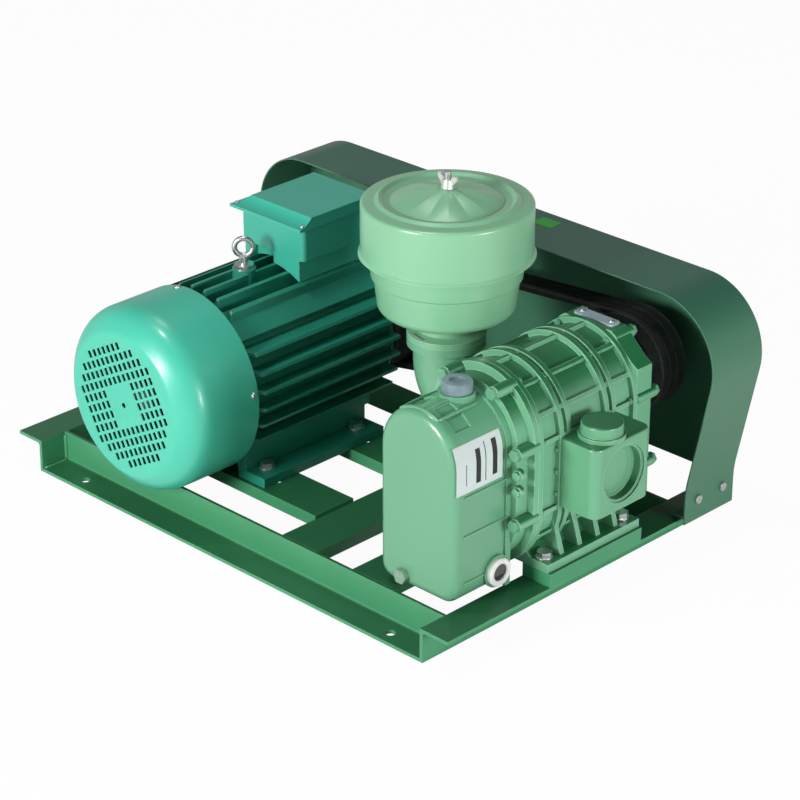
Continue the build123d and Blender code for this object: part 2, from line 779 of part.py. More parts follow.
# Casing: ribbed twin barrel with a port window each side and two webbed feet.
with BuildPart() as casing:
    with BuildSketch(across(blower_x, barrel_y, centre_z)):
        twin_outline(barrel_radius)
    extrude(amount=-barrel_length)
    # Long ribs follow the barrel's length; ring ribs come in pairs.
    with BuildSketch(across(blower_x, barrel_y, centre_z)):
        for half in (1, -1):
            for turn in (25, 55, 90, 125, 155):
                reach = barrel_radius + rib_height / 2 - 2
                with Locations(Location((
                    reach * cos(radians(turn)),
                    half * (pitch_radius + reach * sin(radians(turn))),
                    0,
                ), (0, 0, half * turn))):
                    Rectangle(rib_height, long_rib_thickness)
        with Locations((-barrel_radius - rib_height / 2 + 2, 0), (barrel_radius + rib_height / 2 - 2, 0)):
            with GridLocations(1, 2 * pitch_radius, 1, 2):
                Rectangle(rib_height, long_rib_thickness)
    extrude(amount=-barrel_length)
    rib_pairs = (barrel_length * 0.26, barrel_length * 0.72)
    ring_places = [0.0, barrel_length - rib_thickness]
    for pair in rib_pairs:
        ring_places += [pair - 1.4 * rib_thickness, pair + 0.4 * rib_thickness]
    for place in ring_places:
        with BuildSketch(across(blower_x, barrel_y + place, centre_z)):
            twin_outline(rib_radius)
        extrude(amount=-rib_thickness)
    # Port bosses carry the intake elbow and the discharge box on flat faces.
    for side in (-1, 1):
        with BuildSketch(across(blower_x, port_y - box_length / 2, centre_z)):
            with Locations((side * rib_radius / 2, 0)):
                Rectangle(rib_radius, box_height)
        extrude(amount=-box_length)
    # Feet with gussets.
    foot_y = barrel_y + 5
    blower_foot_length = barrel_length - 10
    for side in (-1, 1):
        outer = side * (right_foot_x + foot_bar_width / 2 - 5 - blower_x)
        with BuildSketch(across(blower_x, foot_y, feet_z)):
            with BuildLine():
                Polyline(
                    (side * 40, 0),
                    (outer, 0),
                    (outer, 12),
                    (side * (barrel_radius - 10), 12),
                    (side * 60, 30),
                    close=True,
                )
            make_face()
        extrude(amount=-blower_foot_length)
        gusset_count = 4
        for index in range(gusset_count):
            gusset_y = foot_y + 34 + index * (blower_foot_length - 76) / (gusset_count - 1)
            with BuildSketch(across(blower_x, gusset_y, feet_z)):
                with BuildLine():
                    Polyline(
                        (side * 60, 10),
                        (outer - side * 8, 10),
                        (side * (barrel_radius + 4), 44),
                        (side * (barrel_radius - 6), 70),
                        close=True,
                    )
                make_face()
            extrude(amount=-8)
    # Rotor bores, port windows and foot holes.
    with BuildSketch(across(blower_x, barrel_y, centre_z)):
        with GridLocations(1, 2 * pitch_radius, 1, 2):
            Circle(bore_radius)
    extrude(amount=-barrel_length, mode=Mode.SUBTRACT)
    with BuildSketch(Plane(origin=(blower_x - rib_radius, port_y, centre_z), x_dir=(0, 1, 0),
                           z_dir=(1, 0, 0))):
        RectangleRounded(port_length, port_height, 10)
    extrude(amount=2 * rib_radius, mode=Mode.SUBTRACT)
    for end_y in (barrel_y, rear_plate_y - tie_depth):
        with BuildSketch(across(blower_x, end_y, centre_z)):
            with Locations(*tie_points(tie_circle_radius)):
                Circle(tie_bolt_radius + seat_gap)
        extrude(amount=-tie_depth, mode=Mode.SUBTRACT)
    blower_bolt_spacing_y = blower_foot_length - 30
    blower_bolt_spacing_x = 2 * (right_foot_x - blower_x)
    with Locations((blower_x, foot_y + blower_foot_length / 2, feet_z + 12)):
        with GridLocations(blower_bolt_spacing_x, blower_bolt_spacing_y, 2, 2):
            Hole(7, depth=12)
save(casing.part, "blower_casing")


def side_plate(start, octagon):
    """End plate with bearing seats; the drive-end one is eight-sided."""
    with BuildPart() as plate:
        with BuildSketch(across(blower_x, start, centre_z)):
            if octagon:
                high = pitch_radius + barrel_radius + 2
                wide = rib_radius - 2
                with BuildLine():
                    Polyline(
                        (-wide, -high + 42), (-wide, high - 42), (-wide + 12, high - 34),
                        (-42, high), (42, high), (wide - 12, high - 34),
                        (wide, high - 42), (wide, -high + 42), (wide - 12, -high + 34),
                        (42, -high), (-42, -high), (-wide + 12, -high + 34),
                        close=True,
                    )
                make_face()
            else:
                twin_outline(barrel_radius - 4)
        extrude(amount=-plate_thickness)
        if not octagon:
            with BuildSketch(across(blower_x, start + plate_thickness - 9, centre_z)):
                twin_outline(rib_radius)
            extrude(amount=-9)
        lug_start = start if octagon else start - tie_lug_proud
        with BuildSketch(across(blower_x, lug_start, centre_z)):
            with Locations(*tie_points(tie_circle_radius, low=octagon)):
                Circle(tie_lug_radius)
        extrude(amount=-(plate_thickness + tie_lug_proud))
        with BuildSketch(across(blower_x, start, centre_z)):
            with GridLocations(1, 2 * pitch_radius, 1, 2):
                Circle(shaft_radius + 1)
        extrude(amount=-plate_thickness, mode=Mode.SUBTRACT)
        seat = start + plate_thickness - bearing_width if octagon else start
        with BuildSketch(across(blower_x, seat, centre_z)):
            with GridLocations(1, 2 * pitch_radius, 1, 2):
                Circle(bearing_radius)
        extrude(amount=-bearing_width, mode=Mode.SUBTRACT)
        with BuildSketch(across(blower_x, lug_start, centre_z)):
            with Locations(*tie_points(tie_circle_radius, low=octagon)):
                Circle(tie_bolt_radius + seat_gap)
        extrude(amount=-(plate_thickness + tie_lug_proud), mode=Mode.SUBTRACT)
    return plate.part


save(side_plate(plate_y, False), "side_plate_gear_end")
save(side_plate(rear_plate_y, True), "side_plate_drive_end")

# Rotors, true to a rolling-circle outline so that they turn together with an even gap.
for axis_z, name in ((upper_z, "upper"), (lower_z, "lower")):
    with BuildPart() as rotor:
        with BuildSketch(across(blower_x, barrel_y + end_gap, axis_z)):
            add(lobed_outline(rotor_gap).line)
            make_face()
            Circle(shaft_radius, mode=Mode.SUBTRACT)
        extrude(amount=-rotor_length)
    save(rotor.part, f"rotor_{name}")

# Rotor shafts: journals at both plates, a gear seat in front, the upper one with a long drive end.
gear_y = plate_y - 14 - gear_width
for axis_z, name, drive_reach in (
    (upper_z, "upper", pulley_y + pulley_width + 4),
    (lower_z, "lower", rear_face + 2),
):
    with BuildPart() as shaft:
        with BuildSketch(across(blower_x, gear_y - 6, axis_z)):
            Circle(shaft_radius)
        extrude(amount=-(rear_face + 2 - gear_y + 6))
        if drive_reach > rear_face + 2:
            with BuildSketch(across(blower_x, rear_face + 2, axis_z)):
                Circle(shaft_end_radius)
            extrude(amount=-(drive_reach - rear_face - 2))
        chamfer(shaft.faces().sort_by(Axis.Y)[-1].edges(), 1.5)
    save(shaft.part, f"shaft_{name}")

# Bearings, one at each journal.
with BuildPart() as blower_bearings:
    for bearing_y in (plate_y, rear_face - bearing_width):
        with BuildSketch(across(blower_x, bearing_y, centre_z)):
            with GridLocations(1, 2 * pitch_radius, 1, 2):
                Circle(bearing_radius)
                Circle(shaft_radius + running_gap, mode=Mode.SUBTRACT)
        extrude(amount=-bearing_width)
save(blower_bearings.part, "blower_bearings")


# Timing gears: equal involute gears whose pitch circles meet halfway between the axes.
def involute_points(base, root, tip, half_width):
    """Right flank of a tooth that points up, from the root to the tip."""
    pressure = radians(20)
    at_pitch = tan(pressure) - pressure
    tooth_angle = half_width / pitch_radius
    points = []
    for step in range(5):
        radius = max(base, root) + (tip - max(base, root)) * step / 4
        roll = sqrt(max((radius / base) ** 2 - 1, 0))
        turn = tooth_angle + at_pitch - (roll - atan2(roll, 1))
        points.append((radius * sin(turn), radius * cos(turn)))
    return points


gear_module = 2 * pitch_radius / gear_teeth
gear_tip = pitch_radius + gear_module * 0.95
gear_root = pitch_radius - gear_module * 1.25
gear_base = pitch_radius * cos(radians(20))
for axis_z, name, phase in ((upper_z, "upper", 180.0), (lower_z, "lower", 180.0 / gear_teeth)):
    with BuildPart() as gear:
        with BuildSketch(across(blower_x, gear_y, axis_z)):
            Circle(gear_root)
            flank = involute_points(gear_base, gear_root, gear_tip, pi * gear_module / 4 - gear_backlash / 2)
            mirrored = [(-x, y) for x, y in flank]
            foot = gear_root - 0.5
            with BuildLine(mode=Mode.PRIVATE) as tooth:
                Spline(*flank)
                Line(flank[-1], mirrored[-1])
                Spline(*reversed(mirrored))
                Polyline(mirrored[0], (mirrored[0][0], foot), (flank[0][0], foot), flank[0])
            tooth_face = make_face(tooth.edges(), mode=Mode.PRIVATE)
            for index in range(gear_teeth):
                add(tooth_face.rotate(Axis.Z, phase + index * 360 / gear_teeth))
            Circle(shaft_radius, mode=Mode.SUBTRACT)
        extrude(amount=-gear_width)
    save(gear.part, f"timing_gear_{name}")

# Plate bolts: hex heads on the lugs, shanks into the casing's end rings.
front_lug_y = plate_y - tie_lug_proud
rear_lug_y = rear_face + tie_lug_proud
plate_bolt_length = plate_thickness + tie_lug_proud + tie_depth - 1
bolts = []
for x, z in tie_points(tie_circle_radius, low=False):
    place = across(blower_x + x, front_lug_y, centre_z + z)
    bolts.append(hex_bolt(place, 8.5, 6, tie_bolt_radius, plate_bolt_length))
for x, z in tie_points(tie_circle_radius):
    place = Plane(origin=(blower_x + x, rear_lug_y, centre_z + z), x_dir=(1, 0, 0), z_dir=(0, 1, 0))
    bolts.append(hex_bolt(place, 8.5, 6, tie_bolt_radius, plate_bolt_length))
with BuildPart() as plate_bolts:
    add(bolts)
save(plate_bolts.part, "plate_bolts")

# Gear case: an oil box with a crowned top, hollow for the gears.
case_floor_z = lower_z - gear_case_drop
case_side_x = blower_x + gear_case_radius


def case_outline(inset):
    """Arched outline of the gear case, drawn in by the inset."""
    radius = gear_case_radius - inset
    with Locations((0, 0)):
        Circle(radius)
    with Locations((0, (case_floor_z + inset - upper_z) / 2)):
        Rectangle(2 * radius, upper_z - case_floor_z - inset)


with BuildPart() as gear_case:
    with BuildSketch(across(blower_x, gear_face, upper_z)):
        case_outline(0)
    extrude(amount=-gear_case_depth)
    fillet(gear_case.edges().filter_by(Axis.Y).group_by(Axis.Z)[0], gear_case_corner)
    fillet(gear_case.faces().sort_by(Axis.Y)[0].outer_wire().edges(), case_edge_radius)
    # Rear flange, level ribs on both flanks and a boss for the oil filler.
    with BuildSketch(across(blower_x, plate_y - 10, upper_z)):
        case_outline(-3)
    extrude(amount=-10)
    for rib_z in case_rib_heights:
        with Locations((blower_x, plate_y - gear_case_depth / 2 + 8, lower_z + rib_z)):
            Box(2 * gear_case_radius + 4, gear_case_depth - 22, 3)
    with BuildSketch(Plane.XY.offset(upper_z + gear_case_radius - 10)):
        with Locations((blower_x, filler_y)):
            Circle(filler_radius + 4)
    extrude(amount=14)
    # Sight glass boss low on the right flank.
    sight_plane = Plane(origin=(case_side_x, sight_y, sight_z), x_dir=(0, 1, 0), z_dir=(1, 0, 0))
    with BuildSketch(sight_plane):
        Circle(sight_radius + 3)
    extrude(amount=4)
    # Cavity for the gears, open to the side plate.
    with BuildSketch(across(blower_x, gear_face + gear_case_wall, upper_z)):
        case_outline(gear_case_wall)
    extrude(amount=-gear_case_depth, mode=Mode.SUBTRACT)
    # Sunk panels on the crown.
    for turn in (62, 118):
        with BuildSketch(across(blower_x, gear_face + 20, upper_z)):
            Circle(gear_case_radius)
            Circle(gear_case_radius - 2.5, mode=Mode.SUBTRACT)
            with BuildLine():
                Polyline(
                    (0, 0),
                    (120 * cos(radians(turn - 19)), 120 * sin(radians(turn - 19))),
                    (120 * cos(radians(turn + 19)), 120 * sin(radians(turn + 19))),
                    close=True,
                )
            make_face(mode=Mode.INTERSECT)
        extrude(amount=-30, mode=Mode.SUBTRACT)
    # Sunk seat for the rating plate, oil filler hole, sight hole and drain hole.
    with Locations((case_side_x, gear_face + 54, upper_z + 3)):
        Box(2.4, plate_seat_width, plate_seat_height, mode=Mode.SUBTRACT)
    with BuildSketch(Plane.XY.offset(upper_z + gear_case_radius + 4)):
        with Locations((blower_x, filler_y)):
            Circle(filler_radius - 4)
    extrude(amount=-22, mode=Mode.SUBTRACT)
    with BuildSketch(sight_plane.offset(4)):
        Circle(sight_radius - 5)
    extrude(amount=-20, mode=Mode.SUBTRACT)
    with BuildSketch(across(blower_x - 22, gear_face, drain_z)):
        Circle(drain_radius)
    extrude(amount=-gear_case_wall, mode=Mode.SUBTRACT)
save(gear_case.part, "gear_case")

# Oil filler cap: a knurled-edge cap with a plug that turns in the filler hole.
filler_seat_z = upper_z + gear_case_radius + 4
with BuildPart() as oil_cap:
    with BuildSketch(Plane.XY.offset(filler_seat_z + seat_gap)):
        with Locations((blower_x, filler_y)):
            Circle(filler_radius)
    extrude(amount=15)
    chamfer(oil_cap.faces().sort_by(Axis.Z)[-1].edges(), 2)
    with BuildSketch(Plane.XY.offset(filler_seat_z + seat_gap)):
        with Locations((blower_x, filler_y)):
            Circle(filler_radius - 4 - running_gap)
    extrude(amount=-10)
    with BuildSketch(Plane.XY.offset(filler_seat_z + seat_gap + 15)):
        with Locations((blower_x, filler_y)):
            Circle(filler_radius - 10)
    extrude(amount=-3, mode=Mode.SUBTRACT)
save(oil_cap.part, "oil_filler_cap")

with BuildPart() as sight_ring:
    with BuildSketch(sight_plane.offset(4)):
        Circle(sight_radius)
        Circle(sight_radius - 8, mode=Mode.SUBTRACT)
    extrude(amount=7)
    with BuildSketch(sight_plane.offset(4)):
        Circle(sight_radius - 5 - seat_gap)
        Circle(sight_radius - 8, mode=Mode.SUBTRACT)
    extrude(amount=-8)
    chamfer(sight_ring.faces().sort_by(Axis.X)[-1].edges(), 1.5)
save(sight_ring.part, "sight_glass_ring")

with BuildPart() as sight_lens:
    with BuildSketch(sight_plane.offset(2)):
        Circle(sight_radius - 8 - seat_gap)
    extrude(amount=6)
save(sight_lens.part, "sight_glass_lens")

drain_plane = across(blower_x - 22, gear_face, drain_z)
save(hex_bolt(drain_plane, 11, 9, drain_radius - seat_gap, gear_case_wall), "oil_drain_plug")

# Seal cover where the drive shaft leaves the rear plate.
with BuildPart() as seal_cover:
    with BuildSketch(across(blower_x, rear_face, upper_z)):
        Circle(bearing_radius + 10)
        Circle(shaft_end_radius + 3, mode=Mode.SUBTRACT)
    extrude(amount=-6)
    with BuildSketch(across(blower_x, rear_face + 6, upper_z)):
        Circle(shaft_end_radius + 10)
        Circle(shaft_end_radius + 3, mode=Mode.SUBTRACT)
    extrude(amount=-12)
save(seal_cover.part, "drive_seal_cover")

with BuildPart() as blind_cover:
    with BuildSketch(across(blower_x, rear_face, lower_z)):
        Circle(bearing_radius + 10)
    extrude(amount=-8)
    with BuildSketch(across(blower_x, rear_face, lower_z)):
        Circle(shaft_radius + 4)
    extrude(amount=-4, mode=Mode.SUBTRACT)
save(blind_cover.part, "bearing_cover_lower")

# ---------------------------------------------------------------- discharge side
box_x = blower_x + rib_radius
box_outer_x = box_x + box_depth
port_floor = port_rim_depth + port_recess
cap_centre = (box_x + box_depth / 2 + 2, port_y - box_cap_setback)
with BuildPart() as discharge_box:
    with BuildSketch(Plane.XY.offset(centre_z - box_height / 2)):
        with Locations((box_x + box_depth / 2, port_y)):
            Rectangle(box_depth, box_length)
    extrude(amount=box_height)
    fillet(discharge_box.edges().filter_by(Axis.Z).group_by(Axis.X)[-1], box_corner * 1.6)
    fillet(discharge_box.faces().sort_by(Axis.Z)[-1].outer_wire().edges().filter_by(
        lambda edge: edge.center().X > box_x + 1), 4)
    with BuildSketch(Plane.XY.offset(centre_z - box_height / 2 + box_wall)):
        with Locations((box_x + (box_depth - box_wall - port_floor) / 2, port_y)):
            Rectangle(box_depth - box_wall - port_floor, box_length - 2 * box_wall)
    extrude(amount=box_height - 2 * box_wall, mode=Mode.SUBTRACT)
    port_plane = Plane(origin=(box_outer_x, port_y, centre_z), x_dir=(0, 1, 0), z_dir=(1, 0, 0))
    for radius, depth in (
        (port_rim_radius, port_rim_depth), (port_radius, port_floor), (blank_radius, port_floor + box_wall),
    ):
        with BuildSketch(port_plane):
            Circle(radius)
        extrude(amount=-depth, mode=Mode.SUBTRACT)
    with BuildSketch(Plane.XY.offset(centre_z + box_height / 2)):
        with Locations(cap_centre):
            Circle(box_cap_stem_radius)
    extrude(amount=-box_wall, mode=Mode.SUBTRACT)
save(discharge_box.part, "discharge_box")

with BuildPart() as port_blank:
    with BuildSketch(port_plane.offset(-port_floor)):
        Circle(blank_radius - seat_gap)
    extrude(amount=-(box_wall - 1))
save(port_blank.part, "discharge_port_blank")

with BuildPart() as box_cap:
    cap_plane = Plane.XY.offset(centre_z + box_height / 2)
    for radius, height in ((box_cap_radius, box_cap_base), (box_cap_radius - box_cap_step, box_cap_height)):
        with BuildSketch(cap_plane):
            with Locations(cap_centre):
                Circle(radius)
        extrude(amount=height)
    fillet(box_cap.faces().sort_by(Axis.Z)[-1].edges(), box_cap_step)
    with BuildSketch(cap_plane):
        with Locations(cap_centre):
            Circle(box_cap_stem_radius - seat_gap)
    extrude(amount=-box_wall + 1)
save(box_cap.part, "discharge_box_cap")

# ---------------------------------------------------------------- intake side
bend_radius = elbow_reach - rib_radius - elbow_flange_thickness
elbow_start_x = blower_x - rib_radius - elbow_flange_thickness
with BuildPart() as elbow:
    with BuildSketch(Plane(origin=(blower_x - rib_radius, port_y, centre_z), x_dir=(0, 1, 0),
                           z_dir=(-1, 0, 0))):
        RectangleRounded(box_length, box_height, 10)
    extrude(amount=elbow_flange_thickness)
    with BuildLine(Plane(origin=(0, port_y, 0), x_dir=(1, 0, 0), z_dir=(0, -1, 0))) as route:
        Line((elbow_start_x + 6, centre_z), (elbow_start_x, centre_z))
        CenterArc((elbow_start_x, centre_z + bend_radius), bend_radius, 270, -90)
        Line((filter_x, centre_z + bend_radius), (filter_x, elbow_top))
    mouth = Plane(origin=(elbow_start_x + 6, port_y, centre_z), x_dir=(0, 1, 0), z_dir=(-1, 0, 0))
    with BuildSketch(mouth):
        Circle(elbow_radius)
    sweep(path=route.wire())
    with BuildSketch(Plane.XY.offset(elbow_top)):
        with Locations((filter_x, port_y)):
            Circle(elbow_flange_radius)
    extrude(amount=-elbow_flange_thickness)
    with BuildSketch(mouth):
        Circle(elbow_radius - elbow_wall)
    sweep(path=route.wire(), mode=Mode.SUBTRACT)
    with BuildSketch(mouth):
        Circle(elbow_radius - elbow_wall)
    extrude(amount=-2 * elbow_flange_thickness, mode=Mode.SUBTRACT)
save(elbow.part, "intake_elbow")

# Filter: a neck on the elbow, a stepped bowl, the element on its stud, and a pressed cover.
filter_axis = Axis((filter_x, port_y, 0), (0, 0, 1))
filter_plane = Plane(origin=(filter_x, port_y, 0), x_dir=(1, 0, 0), z_dir=(0, -1, 0))
with BuildPart() as filter_neck:
    with BuildSketch(filter_plane):
        with BuildLine():
            Polyline(
                (neck_radius - 4, elbow_top),
                (elbow_flange_radius, elbow_top),
                (elbow_flange_radius, elbow_top + 8),
                (neck_radius, elbow_top + 12),
                (neck_radius, filter_floor),
                (neck_radius - 4, filter_floor),
                close=True,
            )
        make_face()
    revolve(axis=filter_axis)
save(filter_neck.part, "filter_neck")

bowl_lip = filter_seam - 3
with BuildPart() as filter_bowl:
    with BuildSketch(filter_plane):
        with BuildLine():
            Polyline((neck_radius - 4, filter_floor), (filter_floor_radius - 14, filter_floor))
            RadiusArc((filter_floor_radius - 14, filter_floor), (filter_floor_radius, filter_floor + 14), -14)
            Polyline(
                (filter_floor_radius, filter_floor + 14),
                (filter_body_radius - 4, filter_floor + filter_step_height),
                (filter_body_radius, filter_floor + filter_step_height + 3),
                (filter_body_radius + 2, bowl_lip),
                (filter_body_radius + 2 - filter_wall, bowl_lip),
                (filter_body_radius - filter_wall, filter_floor + filter_step_height + 3),
                (filter_body_radius - 4 - filter_wall, filter_floor + filter_step_height),
                (filter_floor_radius - filter_wall, filter_floor + 14),
            )
            RadiusArc(
                (filter_floor_radius - filter_wall, filter_floor + 14),
                (filter_floor_radius - 14, filter_floor + filter_wall),
                14 - filter_wall,
            )
            Polyline(
                (filter_floor_radius - 14, filter_floor + filter_wall),
                (neck_radius - 4, filter_floor + filter_wall),
                (neck_radius - 4, filter_floor),
            )
        make_face()
    revolve(axis=filter_axis)
    # Three spokes carry the centre stud.
    with BuildSketch(Plane.XY.offset(filter_floor + filter_wall)):
        with Locations((filter_x, port_y)):
            with PolarLocations(neck_radius / 2, 3):
                Rectangle(neck_radius, 8)
            Circle(12)
            Circle(stud_radius, mode=Mode.SUBTRACT)
    extrude(amount=4)
save(filter_bowl.part, "filter_bowl")

cover_floor = filter_seam
with BuildPart() as filter_element:
    with BuildSketch(Plane.XY.offset(filter_floor + filter_wall)):
        with Locations((filter_x, port_y)):
            Circle(element_outer_radius)
            Circle(element_inner_radius, mode=Mode.SUBTRACT)
    extrude(amount=filter_top - filter_floor - 2 * filter_wall - 1 - seat_gap)
save(filter_element.part, "filter_element")

bead = 3.5
with BuildPart() as filter_cover:
    with BuildSketch(filter_plane):
        with BuildLine():
            Polyline(
                (stud_radius + seat_gap, filter_top + dome_height),
                (14, filter_top + dome_height - 1),
                (filter_radius * 0.66, filter_top - 1),
                (filter_radius * 0.74, filter_top),
                (filter_radius * 0.79, filter_top + bead),
                (filter_radius * 0.84, filter_top),
                (filter_radius - 5, filter_top - 1),
            )
            RadiusArc((filter_radius - 5, filter_top - 1), (filter_radius, filter_top - 6), 5)
            Polyline(
                (filter_radius, filter_top - 6),
                (filter_radius, cover_floor + 4),
                (filter_radius + 3, cover_floor),
                (filter_radius + 3 - filter_wall, cover_floor),
                (filter_radius - filter_wall, cover_floor + 4),
                (filter_radius - filter_wall, filter_top - 6),
            )
            RadiusArc(
                (filter_radius - filter_wall, filter_top - 6),
                (filter_radius - 5, filter_top - 1 - filter_wall),
                -(5 - filter_wall),
            )
            Polyline(
                (filter_radius - 5, filter_top - 1 - filter_wall),
                (filter_radius * 0.84, filter_top - filter_wall),
                (filter_radius * 0.79, filter_top + bead - filter_wall),
                (filter_radius * 0.74, filter_top - filter_wall),
                (filter_radius * 0.66, filter_top - 1 - filter_wall),
                (14, filter_top + dome_height - 1 - filter_wall),
                (stud_radius + seat_gap, filter_top + dome_height - filter_wall),
                (stud_radius + seat_gap, filter_top + dome_height),
            )
        make_face()
    revolve(axis=filter_axis)
save(filter_cover.part, "filter_cover")

stud_top = filter_top + dome_height + 24
with BuildPart() as filter_stud:
    with BuildSketch(Plane.XY.offset(filter_floor + filter_wall)):
        with Locations((filter_x, port_y)):
            Circle(stud_radius)
    extrude(amount=stud_top - filter_floor - filter_wall)
    chamfer(filter_stud.faces().sort_by(Axis.Z)[-1].edges(), 1)
save(filter_stud.part, "filter_stud")

with BuildPart() as wing_nut:
    nut_z = filter_top + dome_height + seat_gap
    with BuildSketch(Plane.XY.offset(nut_z)):
        with Locations((filter_x, port_y)):
            Circle(9)
    extrude(amount=12, taper=8)
    with BuildSketch(filter_plane.offset(-2)):
        for side in (-1, 1):
            with BuildLine():
                Polyline(
                    (side * 5, nut_z + 3),
                    (side * 8, nut_z + 2),
                    (side * wing_span / 2, nut_z + 13),
                    (side * (wing_span / 2 - 1), nut_z + 19),
                    (side * (wing_span / 2 - 6), nut_z + 19),
                    (side * 6, nut_z + 11),
                    close=True,
                )
            make_face()
    extrude(amount=4)
    with BuildSketch(Plane.XY.offset(nut_z)):
        with Locations((filter_x, port_y)):
            Circle(stud_radius + running_gap)
    extrude(amount=20, mode=Mode.SUBTRACT)
save(wing_nut.part, "wing_nut")

# ---------------------------------------------------------------- belt drive
def pulley(axis_x, axis_z, belt_radius, bore, hub_start, hub_radius):
    """Grooved pulley; the belts' pitch line lies at belt_radius."""
    rim = belt_radius + belt_top
    half_top = belt_width / 2 + 0.4
    floor = belt_radius - belt_depth - 1
    half_floor = half_top - (rim - floor) * tan(radians(groove_half_angle))
    with BuildPart() as wheel:
        with BuildSketch(along(axis_x, axis_z)):
            points = [(pulley_y, bore), (pulley_y, rim)]
            for groove in range(groove_count):
                middle = pulley_y + groove_edge + groove * groove_pitch
                points += [
                    (middle - half_top, rim), (middle - half_floor, floor),
                    (middle + half_floor, floor), (middle + half_top, rim),
                ]
            web = pulley_y + pulley_width / 2
            rim_floor = floor - rim_thickness
            points += [
                (pulley_y + pulley_width, rim), (pulley_y + pulley_width, rim_floor),
                (web + 7, rim_floor), (web + 7, hub_radius), (pulley_y + pulley_width, hub_radius),
                (pulley_y + pulley_width, bore),
            ]
            with BuildLine():
                Polyline(*points, close=True)
            make_face()
        revolve(axis=Axis((axis_x, 0, axis_z), (0, 1, 0)))
        with BuildSketch(across(axis_x, pulley_y, axis_z)):
            Circle(rim_floor)
            Circle(hub_radius, mode=Mode.SUBTRACT)
        extrude(amount=-(pulley_width / 2 - 7), mode=Mode.SUBTRACT)
        if hub_start < pulley_y:
            with BuildSketch(across(axis_x, hub_start, axis_z)):
                Circle(hub_radius)
                Circle(bore, mode=Mode.SUBTRACT)
            extrude(amount=-(pulley_y - hub_start))
    return wheel.part


save(pulley(motor_x, motor_z, motor_pitch_radius, motor_shaft_radius, shoulder_y + 20, 34), "motor_pulley")
save(pulley(blower_x, upper_z, blower_pitch_radius, shaft_end_radius, pulley_y, 28), "blower_pulley")

# V-belts: two arcs joined by the outer tangents of the pitch circles.
span_x = blower_x - motor_x
span_z = upper_z - motor_z
centre_distance = hypot(span_x, span_z)
lean = degrees(atan2(span_z, span_x))
spread = degrees(atan2(sqrt(centre_distance ** 2 - (motor_pitch_radius - blower_pitch_radius) ** 2),
                       motor_pitch_radius - blower_pitch_radius))


belt_bottom = belt_top - belt_depth
belt_floor_half = belt_width / 2 - belt_depth * tan(radians(groove_half_angle))
belt_sections = []
for groove in range(groove_count):
    middle = pulley_y + groove_edge + groove * groove_pitch
    with BuildPart() as belt:
        with BuildLine(across(motor_x, middle, motor_z)) as route:
            wide = CenterArc((0, 0), motor_pitch_radius, lean + spread, 360 - 2 * spread)
            narrow = CenterArc((span_x, span_z), blower_pitch_radius, lean - spread, 2 * spread)
            Line(wide @ 1, narrow @ 0)
            Line(narrow @ 1, wide @ 0)
        start = route.wire() @ 0
        outward = Vector(start.X - motor_x, 0, start.Z - motor_z).normalized()
        section = Plane(origin=start, x_dir=(0, 1, 0), z_dir=outward.cross(Vector(0, 1, 0)))
        up = 1 if section.y_dir.dot(outward) > 0 else -1
        with BuildSketch(section):
            with BuildLine():
                Polyline(
                    (-belt_width / 2, up * belt_top),
                    (belt_width / 2, up * belt_top),
                    (belt_floor_half, up * belt_bottom),
                    (-belt_floor_half, up * belt_bottom),
                    close=True,
                )
            make_face()
        sweep(path=route.wire())
    belt_sections.append(belt.part)
with BuildPart() as belts:
    add(belt_sections)
save(belts.part, "v_belts")

# ---------------------------------------------------------------- feet, bars and bolts
for centre_x, label in ((left_foot_x, "foot_bar_left"), (right_foot_x, "foot_bar_right")):
    with BuildPart() as foot_bar:
        with BuildSketch(Plane.XY.offset(angle_leg)):
            with Locations((centre_x, foot_y + blower_foot_length / 2)):
                Rectangle(foot_bar_width, blower_foot_length)
        extrude(amount=foot_bar_height)
        with Locations((centre_x, foot_y + blower_foot_length / 2, feet_z)):
            with GridLocations(1, blower_bolt_spacing_y, 1, 2):
                Hole(7, depth=foot_bar_height)
    save(foot_bar.part, label)

bolts = []
for side_x in (-1, 1):
    for side_y in (-1, 1):
        place = Plane.XY.offset(feet_z + 12)
        place.origin = Vector(
            blower_x + side_x * blower_bolt_spacing_x / 2,
            foot_y + blower_foot_length / 2 + side_y * blower_bolt_spacing_y / 2,
            feet_z + 12,
        )
        bolts.append(hex_bolt(place, 11, 9, 6, foot_bar_height + 10))
with BuildPart() as blower_bolts:
    add(bolts)
save(blower_bolts.part, "blower_foot_bolts")

bolts = []
for side_x in (-1, 1):
    for hole_y in (rear_hole_y, front_hole_y):
        place = Plane(
            origin=(motor_x + side_x * foot_hole_spacing_x / 2, hole_y, motor_seat_z + foot_thickness),
            x_dir=(1, 0, 0),
            z_dir=(0, 0, 1),
        )
        bolts.append(hex_bolt(place, 10, 8, 5.5, foot_thickness + channel_wall + 10))
with BuildPart() as motor_bolts:
    add(bolts)
save(motor_bolts.part, "motor_foot_bolts")

# ---------------------------------------------------------------- belt guard
guard_y = frame_front + guard_front
guard_left_x = left_web - guard_left_reach
guard_right_x = right_web + guard_right_reach
guard_leg_x = right_web + guard_leg_reach


